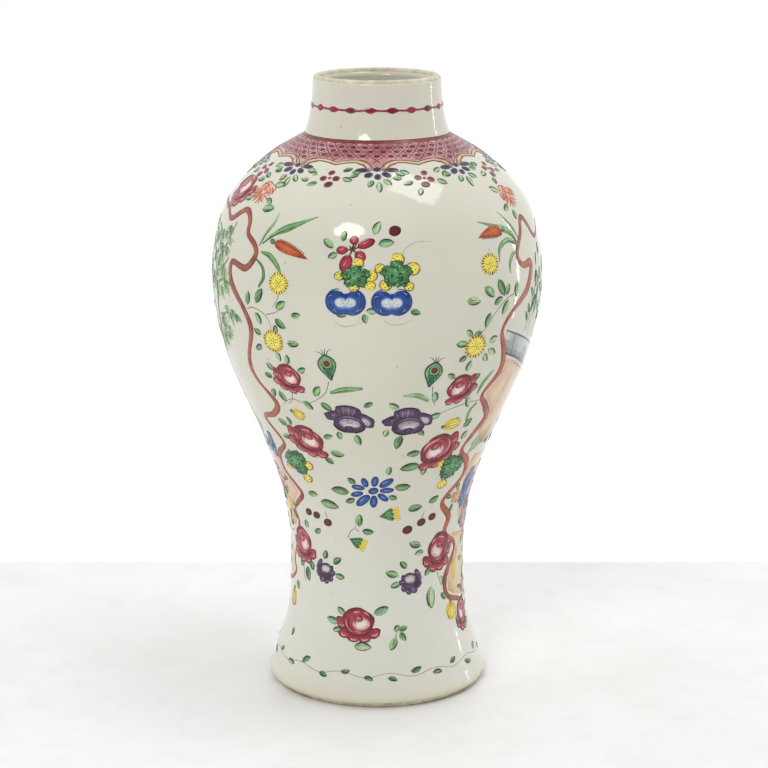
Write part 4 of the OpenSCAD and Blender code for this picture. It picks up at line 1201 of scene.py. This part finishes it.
def collar_trellis():
    """Crossing slanted lines over the collar's ground, with a dot in each of their cells."""
    across, courses, layer = 43, 7, LAYERS["collar_trellis"]
    cell = 2 * math.pi / across

    def course_s(j):
        return COLLAR_TOP_S - 0.3 - j * 2.7

    for i in range(across):
        for lean in (-1, 1):
            points = []
            for j in np.arange(0, courses, 0.5):
                a, s = i * cell + lean * j * cell / 2, course_s(j)
                if s < collar_edge_s(a) + 0.3:
                    break
                points.append((a, s))
            layer.stroke(points, 0.62, "#812C3E", 0.05, step=1.2)
    for j in range(1, courses):
        for i in range(across):
            a, s = (i + 0.5 * (j % 2)) * cell + cell / 2, course_s(j)
            if s >= collar_edge_s(a) + 1.2:
                spot = Spot(math.degrees(a), z_at(s), RNG.uniform(-12, 12))
                spot.dab("collar_trellis", (0, 0, 1.4, 1.0), "#4E1622", 0.06, points=10)


def collar_edge():
    """The double line below the collar, with a little scroll on either side of each of its points."""
    brown, gold = "#7C4634", "#D6B796"
    fine = whole_turn(720)
    edge = collar_edge_s(fine)
    for drop, wide, tone in ((0.1, 0.7, brown), (0.85, 1.1, gold), (1.6, 0.6, brown)):
        chart = pairs(fine, edge - drop)
        LAYERS["collar_edge"].stroke(chart, wide, tone, 0.03, closed=True, step=1.0)
    curl = [(7.6, 1.2), (5.4, 0.4), (4.3, -0.8), (4.2, -2.2), (3.0, -2.9), (2.0, -2.0), (2.7, -1.1),
            (3.4, -1.6)]
    scrolls = (
        ([(7.6, 2.0), (5.2, 1.2), (3.4, -0.2), (2.8, -1.6)], (0.9, 1.3, 1.5, 0.9), gold, 0.06),
        ([(7.0, 2.9), (4.8, 2.1), (2.6, 0.5), (1.4, -1.2)], (0.5, 0.7, 0.6, 0.4), brown, 0.09),
        (curl, (0.5, 0.8, 0.8, 0.7, 0.5, 0.4), brown, 0.09),
    )
    for k in range(BAYS):
        for flip in (-1, 1):
            for scroll in scrolls:
                Spot(k * 360 / BAYS, 219.4, 0, flip).line("collar_edge", *scroll)


# Petals of the garland: (x, y, half length, half width, turn)
DAISY_PETALS = [
    (-5.6, -0.4, 2.7, 1.25, 4), (5.5, -0.2, 2.7, 1.15, -3), (-3.2, -2.9, 2.1, 1.35, 28),
    (0.3, -3.8, 1.6, 1.4, 80), (3.6, -2.7, 2.0, 1.25, -28), (0, 0.1, 1.7, 1.2, 0),
]
ROSETTE_PETALS = [
    (0.8, 2.6, 1.5, 1.25, 20), (-2.5, 0.4, 1.55, 1.35, 0), (2.5, -0.9, 1.6, 1.4, -30),
    (-0.5, -3.2, 1.9, 1.5, 5), (0, 0, 0.75, 0.65, 0),
]


# Leaves near a daisy and near a rosette: (x, y, tilt, length)
DAISY_LEAVES = [
    (-1.6, -5.6, 235, 3.6), (2.4, -5.2, -38, 4.2), (0.8, -6.4, -84, 5.0), (-6.8, -2.4, 214, 3.8),
    (7.0, -1.6, -20, 3.8),
]
ROSETTE_LEAVES = [(5.2, 2.6, 24, 3.8), (5.0, -1.4, -24, 4.2), (8.6, 0.8, 4, 3.6), (2.6, -4.8, -64, 3.6)]


def garland():
    """Daisies under the collar's points, rosettes under its lobes, and leaves between."""
    for k in range(BAYS):
        azimuth = 360 / BAYS * k
        daisy = Spot(azimuth, 218.2)
        petals = [(x, y, long + RNG.uniform(-0.2, 0.2), *rest) for x, y, long, *rest in DAISY_PETALS]
        petal_ring(daisy, DAISY, petals, True, False)
        rosette = Spot(azimuth + 180 / BAYS, 215.1, RNG.uniform(-25, 25))
        petal_ring(rosette, ROSETTE, ROSETTE_PETALS, True, False)
        for x, y, tilt, long in DAISY_LEAVES:
            leaf_near(daisy, x, y, tilt, long, RNG.choice((0, 1, 2)))
        for side in (-1, 1):
            for x, y, tilt, long in ROSETTE_LEAVES:
                if x < 4 and side == RNG.choice((-1, 1)):
                    continue
                leaf_near(rosette, side * x, y, tilt if side > 0 else 180 - tilt, long, None)


def leaf_near(spot, x, y, tilt, length, hue):
    """A garland leaf whose stalk end is at x, y on the spot's board."""
    width = RNG.uniform(2.0, 2.6)
    leaf(spot.beside(x, y, tilt + RNG.uniform(-8, 8)), length, width, hue=hue, layer="garland_leaves")


def foot_garland():
    """A thin wavy stem round the spread foot, with leaves on either side of it."""
    count, stem_z, sway = 27, 13.2, 0.9
    wave = pairs(FULL_TURN, s_at(stem_z) + sway * np.sin(13 * FULL_TURN))
    LAYERS["foot_stem"].stroke(wave, 0.32, "#A09A80", closed=True)
    for i in range(count):
        side = 1 if i % 2 else -1
        azimuth = (i + 0.45) * 360 / count
        spot = Spot(azimuth, stem_z + side * sway, (24 if side > 0 else -16) + RNG.uniform(-14, 14))
        length, width, bend = RNG.uniform(3.8, 5.4), RNG.uniform(1.8, 2.4), RNG.uniform(-0.4, 0.4)
        leaf(spot, length, width, bend, RNG.choice((1, 3, 3)), "foot_leaves")


# ---------------------------------------------------------------- side panels

# The front edge of each frame, from its top to its foot: (azimuth, height, width of the line)
FRAME_RIGHT = [
    (90, 192, 1.4), (76, 188, 1.4), (66.5, 197, 1.8), (61.5, 191, 1.9), (57, 184, 1.8), (60, 179.5, 1.8),
    (66.5, 179, 3.4), (62.5, 170, 3.2), (53, 162.5, 1.6), (48.5, 155.5, 1.4), (52, 146, 2.6),
    (52.5, 138, 2.6), (46, 129.5, 1.4), (51, 123.5, 2.6), (55, 117, 2.8), (45.5, 105.5, 1.4),
    (53.5, 98.5, 2.6), (54.5, 91.5, 2.0), (42, 82.5, 1.5), (50, 75, 2.6), (48.5, 68, 1.6), (62, 60, 1.6),
    (51, 48.5, 2.2), (53, 40.5, 1.8), (67.5, 36.5, 1.6), (80, 32, 1.5),
]
FRAME_LEFT = [
    (-90, 201, 1.4), (-75, 199.5, 1.4), (-67, 196.5, 1.5), (-58, 201, 2.0), (-53, 198, 2.0),
    (-52, 193, 1.8), (-47.5, 189.5, 2.0), (-46, 185.5, 2.2), (-50.5, 180, 1.8), (-59, 181, 2.8),
    (-59, 174, 2.0), (-51, 163.5, 2.4), (-48.5, 155.5, 1.6), (-53.5, 142, 2.2), (-52, 135, 1.4),
    (-44.5, 126, 2.4), (-49, 120.5, 2.0), (-58, 117, 1.5), (-50, 107.5, 1.4), (-59, 101, 2.2),
    (-60, 93.5, 1.5), (-49, 85.5, 1.7), (-55, 80.5, 1.7), (-61, 76.5, 1.2), (-59, 70, 1.4), (-71, 54, 1.2),
    (-68.5, 48.5, 1.4), (-80, 43.5, 1.4),
]


class Panel:
    """A framed field on one side of the vase. Its frame's front edge is mirrored to its back edge."""

    def __init__(self, layer, front, middle):
        loop = np.array(front + [(2 * middle - a, z, w) for a, z, w in front[-1:0:-1]])
        widths = np.minimum(1.4 * np.append(loop[:, 2], loop[0, 2]), 4)
        self.middle, self.edge = middle, resample(places(loop[:, :2]), 1.0, True)
        LAYERS[layer].stroke(places(loop[:, :2]), widths, "#B66249", closed=True, step=0.8, edge="#964A35")

    def room(self, place):
        """How far inside the frame a chart point is, in millimetres: below 0 outside it."""
        run = (self.edge - place) * (r_at(z_at(place[1])), 1)
        angle = np.arctan2(run[:, 1], run[:, 0])
        turns = (np.roll(angle, -1) - angle + math.pi) % (2 * math.pi) - math.pi
        nearest = np.hypot(run[:, 0], run[:, 1]).min()
        return nearest if abs(turns.sum()) > math.pi else -nearest

    def fits(self, a, z, margin):
        """Whether a place, at an azimuth from the middle, is in the frame with a margin round it."""
        return self.room(places([(a, z)], self.middle)[0]) > margin

    def wash(self, points, tint, lift=0.0, thick=None):
        """A wash whose rim is drawn in wherever it would cross the frame."""
        outline = resample(places(points, self.middle), 1.5, True)
        centre = outline.mean(0)
        for i, place in enumerate(outline):
            while self.room(place) < 1.6 and np.abs(place - centre).max() > 0.01:
                place = centre + (place - centre) * 0.96
            outline[i] = place
        LAYERS["garden_ground"].patch(outline, tint, lift, thick, 0.03)

    def line(self, points, width=0.35, tone=INK, lift=0.05, layer="garden_drawing", edge=None, margin=0.4):
        """A line along the first stretch of its points that stays in the frame."""
        kept = []
        for a, z in points:
            if self.fits(a, z, margin):
                kept.append((a, z))
            elif kept:
                break
        if len(kept) > 1:
            LAYERS[layer].stroke(places(kept, self.middle), width, tone, lift, edge=edge)


def tuft(spot, size, hue):
    """Hanging leaf strokes that fan out below one point."""
    pale, deep, _ = LEAF_HUES[hue]
    for a in (-64, -32, 0, 30, 62):
        turn, length = math.radians(a + RNG.uniform(-10, 10) - 90), size * RNG.uniform(0.7, 1.1)
        tip = (length * math.cos(turn), length * math.sin(turn))
        spot.line("garden_foliage", [(0, 0), tip], (0.7, 1.7, 1.2, 0.3), fade(deep, pale), step=1.2)
    spot.line("garden_drawing", [(0, 0), (0.4, -size * 0.6)], (0.5, 0.2), INK, 0.14)


# The pine's trunk and branches: (azimuth from the panel's middle, height)
TRUNK = [(8, 112), (11, 124), (9, 138), (15, 152), (18, 168), (16, 180), (19, 190), (20, 196)]
BRANCHES = [
    [(15, 152), (20, 156), (26, 160), (33, 160)], [(18, 168), (11, 174), (4, 177), (-3, 177)],
    [(17, 178), (22, 183), (26, 190), (29, 196)], [(19, 188), (13, 192), (7, 192), (2, 190)],
    [(12, 146), (6, 151), (0, 152), (-5, 152)], [(18, 169), (22, 172), (27, 173), (34, 172)],
    [(16, 181), (9, 184), (3, 184)], [(14, 150), (20, 149), (28, 151)],
    [(17, 174), (23, 177), (28, 182), (33, 183)],
]
# (azimuth from the panel's middle, height, width, height of the rock, colour)
ROCKS = [
    (-25, 86, 9, 18, "#4F6FA6"), (-16, 76, 10, 13, "#6F9E8A"), (26, 104, 6, 13, "#4C6296"),
    (17, 103, 9, 8, "#7FA58F"), (-5, 112, 9, 9, "#7E93B5"), (2, 116, 8, 12, "#5F83A8"),
    (-19, 79, 7, 22, "#C08A98"),
]
# (azimuth from the panel's middle, height, colour of the flowers)
SHRUBS = [
    (-36, 83, "#D59A7C"), (-33, 66, "#DB9C72"), (-12, 66, "#C4718A"), (-8, 52, "#E2BE4E"),
    (-10, 88, "#D993A4"), (12, 84, "#C4607A"), (19, 88, "#D58AA0"), (22, 78, "#E2BE4E"), (5, 92, "#B4506C"),
    (14, 56, "#C4607A"), (0, 54, "#7F93C2"), (8, 46, "#C77F8E"), (-12, 40, "#C77F8E"), (-2, 102, "#C4607A"),
    (0, 73, "#C4607A"),
]
# (azimuth from the panel's middle, height of the foot, length)
REEDS = [
    (-24, 152, 22), (-22, 150, 32), (-20, 149, 26), (-17, 148, 38), (-26, 152, 12), (-13, 147, 30),
    (-10, 146, 20), (-6, 144, 24), (-1, 142, 18),
]
GRASS = [
    (-22, 104), (-12, 103), (10, 101), (22, 101), (-24, 69), (4, 64), (20, 68), (-16, 39), (6, 40),
    (30, 96),
]
# Outlines of the far hills, each with the tone of its rim
HILLS = [
    ([(-24, 164), (-17, 171), (-12, 168), (-6, 178), (0, 170), (6, 164), (2, 158), (-12, 158)], "#C6CFC9"),
    ([(-14, 160), (-8, 166), (-2, 163), (5, 172), (11, 164), (13, 154), (2, 150), (-8, 153)], "#B4C5C6"),
]
# Outlines of the ground from the wall's foot downwards, each with its tint and its lift
PALE_PEACH, PEACH = "#E2C8AC", "#D9A988"
GROUND = [
    ([(-37, 143), (-20, 138), (0, 131), (12, 126), (16, 115), (4, 107), (-16, 106), (-28, 105), (-36, 112),
      (-35.5, 118), (-38.5, 124), (-43, 128), (-42, 132), (-38, 137)], fade(PALE_PEACH, PEACH, 0.75), 0.0),
    ([(-32, 98), (-20, 100), (10, 98), (28, 99), (38, 94), (41, 84), (33, 77), (28, 70), (10, 66),
      (-12, 66), (-28, 72)], fade(PALE_PEACH, PEACH, 0.8), 0.0),
    ([(-37, 64), (-24, 66), (0, 62), (16, 58), (14, 42), (0, 37), (-20, 38), (-36, 40)],
     [(0, "#E4D3A8"), (0.7, "#E6D6B4"), (1, PEACH)], 0.0),
    ([(-32, 62), (-27, 62), (-26, 48), (-31, 47)], fade("#E3CE6C", "#D8BC58"), 0.04),
    ([(0, 112), (6, 118), (14, 117), (21, 111), (14, 105), (5, 105)], fade("#A9C48C", "#6F9C66"), 0.04),
]
GROUND_LINES = [
    [(-37, 95), (-30, 93), (-20, 95)], [(8, 66), (16, 65), (24, 67)],
    [(-20, 44), (-8, 41), (6, 41), (14, 44)], [(3, 126), (9, 125), (15, 122)],
    [(24, 92), (30, 90), (36, 91)],
]


def hills_and_ground(panel):
    for points, tone in HILLS:
        panel.wash(points, [(0, "#D5DAD2"), (0.5, "#CCD5CF"), (1, tone)], 0.0, 0.03)
        panel.line(points[:6], (0.15, 0.35, 0.15), "#7F97A0")
    for points, tint, lift in GROUND:
        panel.wash(points, tint, lift)


def terrace_wall(panel):
    """The wall that falls away to the right: three grey bands, lines, joints and an end post."""
    layer, slate = LAYERS["garden_wall"], "#3A4048"

    def along(drop):
        return [(a, top_z(a) - drop) for a in (-39, -37, -28, -16, -6, 4)]

    def top_z(a):
        return 155.6 - 0.40 * (a + 40)

    for drop, deep, tone in ((1.9, 3.6, "#C6C9C6"), (5.0, 3.2, "#AEB2B3"), (7.6, 2.6, "#8C9396")):
        layer.stroke(places(along(drop), panel.middle), deep, tone, step=2.0)
    for drop, wide in ((0, 0.9), (8.8, 1.5), (11.2, 0.6)):
        panel.line(along(drop), (wide * 0.7, wide, wide, wide * 0.6), slate)
    for a in (-33, -19, -6):
        panel.line([(a, top_z(a) - 0.5), (a + 0.4, top_z(a) - 8.6)], 0.3, slate)
    z = top_z(5)
    for points, wide, tone, lift in (([(5.5, z + 4), (5.5, z - 14)], 4.2, "#B4B7B6", 0.04),
                                     ([(2.6, z + 4.6), (8.4, z + 4.6)], 1.7, "#C6C9C6", 0.08)):
        layer.stroke(places(points, panel.middle), wide, tone, lift, edge=slate)
    # A fold of the ground below it
    panel.line([(-27, 140), (-28, 130), (-31, 118)], (0.3, 1.0, 0.3), "#D69A74", 0.03)


def pine(panel):
    """A trunk, its branches, and hanging tufts along them."""
    bark = {"tone": "#86776A", "lift": 0.0, "layer": "garden_foliage", "edge": "#453D38"}
    panel.line(TRUNK, (3.6, 3.2, 2.8, 2.4, 2.0, 1.6, 0.8), margin=4, **bark)
    for branch in BRANCHES:
        panel.line(branch, (1.8, 1.3, 0.5), margin=3, **bark)
        for theta, s in resample(places(branch, panel.middle), 3.6):
            sway = RNG.uniform(-2.4, 2.4), RNG.uniform(-2.5, 4.5)
            size, hue = RNG.uniform(4.4, 6.6), RNG.choice((0, 1, 1, 2, 3))
            spot = Spot(math.degrees(theta) + sway[0], z_at(s + sway[1]))
            if panel.room(np.array([spot.theta, spot.s - 2])) > 5:
                tuft(spot, size, hue)


def reeds(panel):
    """Reeds behind the wall, each with three leaves."""
    for a, z, tall in REEDS:
        panel.line([(a, z), (a + 1.5, z + tall * 0.5), (a + 5, z + tall)], (0.5, 0.34, 0.15), "#6B8566",
                   0.0)
        for share in (0.35, 0.6, 0.85):
            spot = Spot(panel.middle + a + 5 * share**1.6, z + tall * share, RNG.choice((40, 70, 120)))
            leaf(spot, 5, 1.6, layer="garden_foliage")


def rocks(panel):
    """Garden rocks, with their hollows drawn in ink."""
    for a, z, wide, tall, code in ROCKS:
        if not panel.fits(a, z, wide * 0.6):
            continue
        spot, body = Spot(panel.middle + a, z), rgb(code)
        a, p = whole_turn(40), RNG.uniform(0, 6)
        r = 1 + 0.07 * np.sin(3 * a + p) + 0.06 * np.sin(7 * a + 2 * p) + 0.03 * np.sin(13 * a)
        outline = pairs(r * wide / 2 * np.cos(a) + 0.08 * tall * np.sin(a), r * tall / 2 * np.sin(a))
        spot.fill("garden_wall", outline, [(0, body * 1.5), (0.6, body), (1, body * 0.6)], 0.02, 0.12, 0.2)
        for x in (-0.3, -0.12, 0.06, 0.24):
            y, long = RNG.uniform(-0.3, -0.05) * tall, RNG.uniform(0.2, 0.36) * tall
            crack = [(x * wide, y), (x * wide + RNG.uniform(-0.3, 0.3), y + long / 2),
                     (x * wide + 0.04 * tall, y + long)]
            spot.line("garden_drawing", crack, (0.15, 0.5, 0.3, 0.1), body * 0.25, 0.16)


def fence_and_long_grass(panel):
    """A low red fence on one side, and long grass on the other."""
    for i in range(6):
        a, z = 30.5 + i * 1.3, 108 - i * 0.5
        panel.line([(a, z), (a + 4, z - 4.5)], 0.42, "#BC6446")
    for i in range(7):
        a = -40 + 1.9 * i
        line = [(a, 101 + 0.8 * i), (a + 1.5, 106), (a + 5, 110 + 0.5 * i)]
        panel.line(line, (0.7, 0.5, 0.15), LEAF_HUES[i % 2 * 3][1])


def shrub(spot, tone):
    """A flower of five petals with a yellow heart, and five leaves round it."""
    for angle in range(0, 360, 72):
        c, s = cos_sin(angle)
        stops = [(0, tone * 1.25), (0.6, tone), (1, tone * 0.6)]
        spot.dab("garden_flowers", (1.9 * c, 1.8 * s, 1.5, 1.25), stops, 0.02, turn=angle)
    spot.dab("garden_flowers", (0, 0, 0.9, 0.8), "#E6C24A", 0.1)
    for tilt in (20, 95, 165, 250, 310):
        c, s = cos_sin(tilt)
        board = spot.beside(3.4 * c, 3.2 * s, tilt + RNG.uniform(-20, 20))
        leaf(board, RNG.uniform(3.2, 4.6), 1.9, layer="garden_foliage")


def garden(panel):
    """One panel's scene: a terrace wall, a pine, rocks, flowers and a low fence, with no figures."""
    hills_and_ground(panel)
    terrace_wall(panel)
    pine(panel)
    reeds(panel)
    rocks(panel)
    fence_and_long_grass(panel)
    for a, z, code in SHRUBS:
        if panel.fits(a, z, 4.5):
            shrub(Spot(panel.middle + a, z), rgb(code))
    for a, z in GRASS:
        if panel.fits(a, z, 3):
            for tip in (-2.2, -0.8, 0.8, 2.2):
                leaf_line = [(tip * 0.3, 0), (tip, RNG.uniform(2.4, 3.8))]
                spot = Spot(panel.middle + a, z)
                spot.line("garden_foliage", leaf_line, (0.7, 0.9, 0.2), LEAF_HUES[3][1])
    for points in GROUND_LINES:
        panel.line(points, (0.15, 0.4, 0.15), "#8A6A54")


# ---------------------------------------------------------------- the vase


def build_vase():
    declare(glazed_wall(glaze_material("outer_glaze", "#E1DFCF", "#D2D0C0")), "clear_glaze", "outer_glaze")
    declare(mouth_glaze(glaze_material("inside_glaze", "#DEDBCA", "#C9C5B2")), "clear_glaze", "inner_glaze")
    declare(recess_glaze(glaze_material("under_glaze", "#DAD8CC", "#C9C8BA")), "clear_glaze", "base_glaze")
    declare(bare_lip(biscuit_material("lip_biscuit", 0.2)), "biscuit", "neck")
    declare(bare_foot(biscuit_material("foot_biscuit", 1.0)), "biscuit", "foot_ring")
    clay, slip = clay_material("porcelain_clay", "#E2DED2"), clay_material("joining_slip", "#C2B9A4")
    for node in ("base_disc", "lower_body", "upper_body"):
        keep_node(node, clay)
    for node in ("foot_slip_joint", "belly_slip_joint", "neck_slip_joint"):
        keep_node(node, slip)
    neck_lines()
    collar_ground()
    collar_trellis()
    collar_edge()
    garland()
    foot_garland()
    for turn in (0, 180):
        reserve(turn)
    for panel in (Panel("frame_right", FRAME_RIGHT, 90), Panel("frame_left", FRAME_LEFT, -90)):
        garden(panel)
    for layer in LAYERS.values():
        layer.finish()


def keep_node(node, material):
    """A CAD node that stays as it is, with a better material."""
    obj = frame["nodes"][node]
    for i in range(max(1, len(obj.material_slots))):
        if not obj.material_slots:
            obj.data.materials.append(material)
        obj.material_slots[i].material = material


# ---------------------------------------------------------------- camera, table and light

EYE = Vector((0.0, -907.3 * MM, 346.5 * MM))
PITCH = math.radians(13.79)
FOCAL_SHARE = 2.98099  # focal length as a share of the picture's width
SHIFT_SHARE = 0.0091146  # and how far the picture is shifted sideways
SENSOR_WIDTH = 36
LIT = Vector((0, 0, 0.15))  # where the lamps point, in metres
TABLE_BACK_Y = 144 * MM
TABLE_FRONT_Y, TABLE_HALF_WIDTH, TABLE_T = -2.0, 2.5, 0.03


def place_camera():
    data = bpy.data.cameras.new("camera")
    data.sensor_width = SENSOR_WIDTH
    data.lens = SENSOR_WIDTH * FOCAL_SHARE
    data.shift_x = SHIFT_SHARE
    data.clip_start, data.clip_end = 0.05, 50
    camera = bpy.data.objects.new("camera", data)
    camera.location = EYE
    camera.rotation_euler = (math.pi / 2 - PITCH, 0, 0)
    bpy.context.scene.collection.objects.link(camera)
    bpy.context.scene.camera = camera


def table():
    """The white table top, which ends behind the vase against a white background."""
    sh = Shader("table_top")
    tone = sh.mix(sh.remap(sh.noise(14, 5, warp=0.8), 0.4, 0.68, 0, 0.75), "#F6F6F5", "#EEEEEC")
    tone = sh.mix(sh.remap(sh.noise(70, 4), 0.5, 0.75, 0, 0.4), tone, "#E9E9E7")
    material = sh.finish(tone, sh.remap(sh.noise(40, 3), 0.3, 0.7, 0.35, 0.55), sh.noise(300, 3), 0.00004)
    x, front, back = TABLE_HALF_WIDTH, TABLE_FRONT_Y, TABLE_BACK_Y
    verts = np.array([(-x, front, 0), (x, front, 0), (x, back, 0), (-x, back, 0)])
    sides = [(i, i + 4, (i + 1) % 4 + 4, (i + 1) % 4) for i in range(4)]
    verts = np.vstack([verts, verts - (0, 0, TABLE_T)])
    top = new_object("table_top", verts, [(0, 1, 2, 3), (7, 6, 5, 4)] + sides, material, False)


def light(name, kind, place, power, size, size_y=None):
    """A white lamp that faces the vase."""
    data = bpy.data.lights.new(name, "AREA")
    data.energy, data.shape, data.size = power, kind, size
    if size_y:
        data.size_y = size_y
    lamp = bpy.data.objects.new(name, data)
    lamp.location = place
    lamp.rotation_euler = (LIT - Vector(place)).to_track_quat("-Z", "Y").to_euler()
    bpy.context.scene.collection.objects.link(lamp)


def world():
    """A bright white room behind and beside the vase, darker on the side of the camera."""
    room = bpy.data.worlds.new("room")
    room.use_nodes = True
    room.node_tree.nodes.clear()
    nodes = Nodes(room.node_tree)
    place = nodes.node("TexCoord").outputs["Generated"]
    depth = nodes.node("SeparateXYZ", {"Vector": place}).outputs["Y"]
    light_of_room = {"Color": (1, 1, 1, 1), "Strength": nodes.remap(depth, -0.9, 0.35, 0.34, 1.0)}
    back = nodes.node("Background", light_of_room).outputs["Background"]
    nodes.node("OutputWorld", {"Surface": back})
    bpy.context.scene.world = room


def lights():
    light("key", "DISK", (-0.4545, -1.125, 1.08), 6.2, 0.52)
    light("window", "RECTANGLE", (1.30, 0.52, 0.2), 1.2, 0.04, 1.2)
    light("ceiling", "RECTANGLE", (0.5, -0.05, 1.6), 4.0, 0.5, 0.66)


place_camera()
build_vase()
table()
world()
lights()

bpy.context.scene.view_settings.view_transform = "Standard"
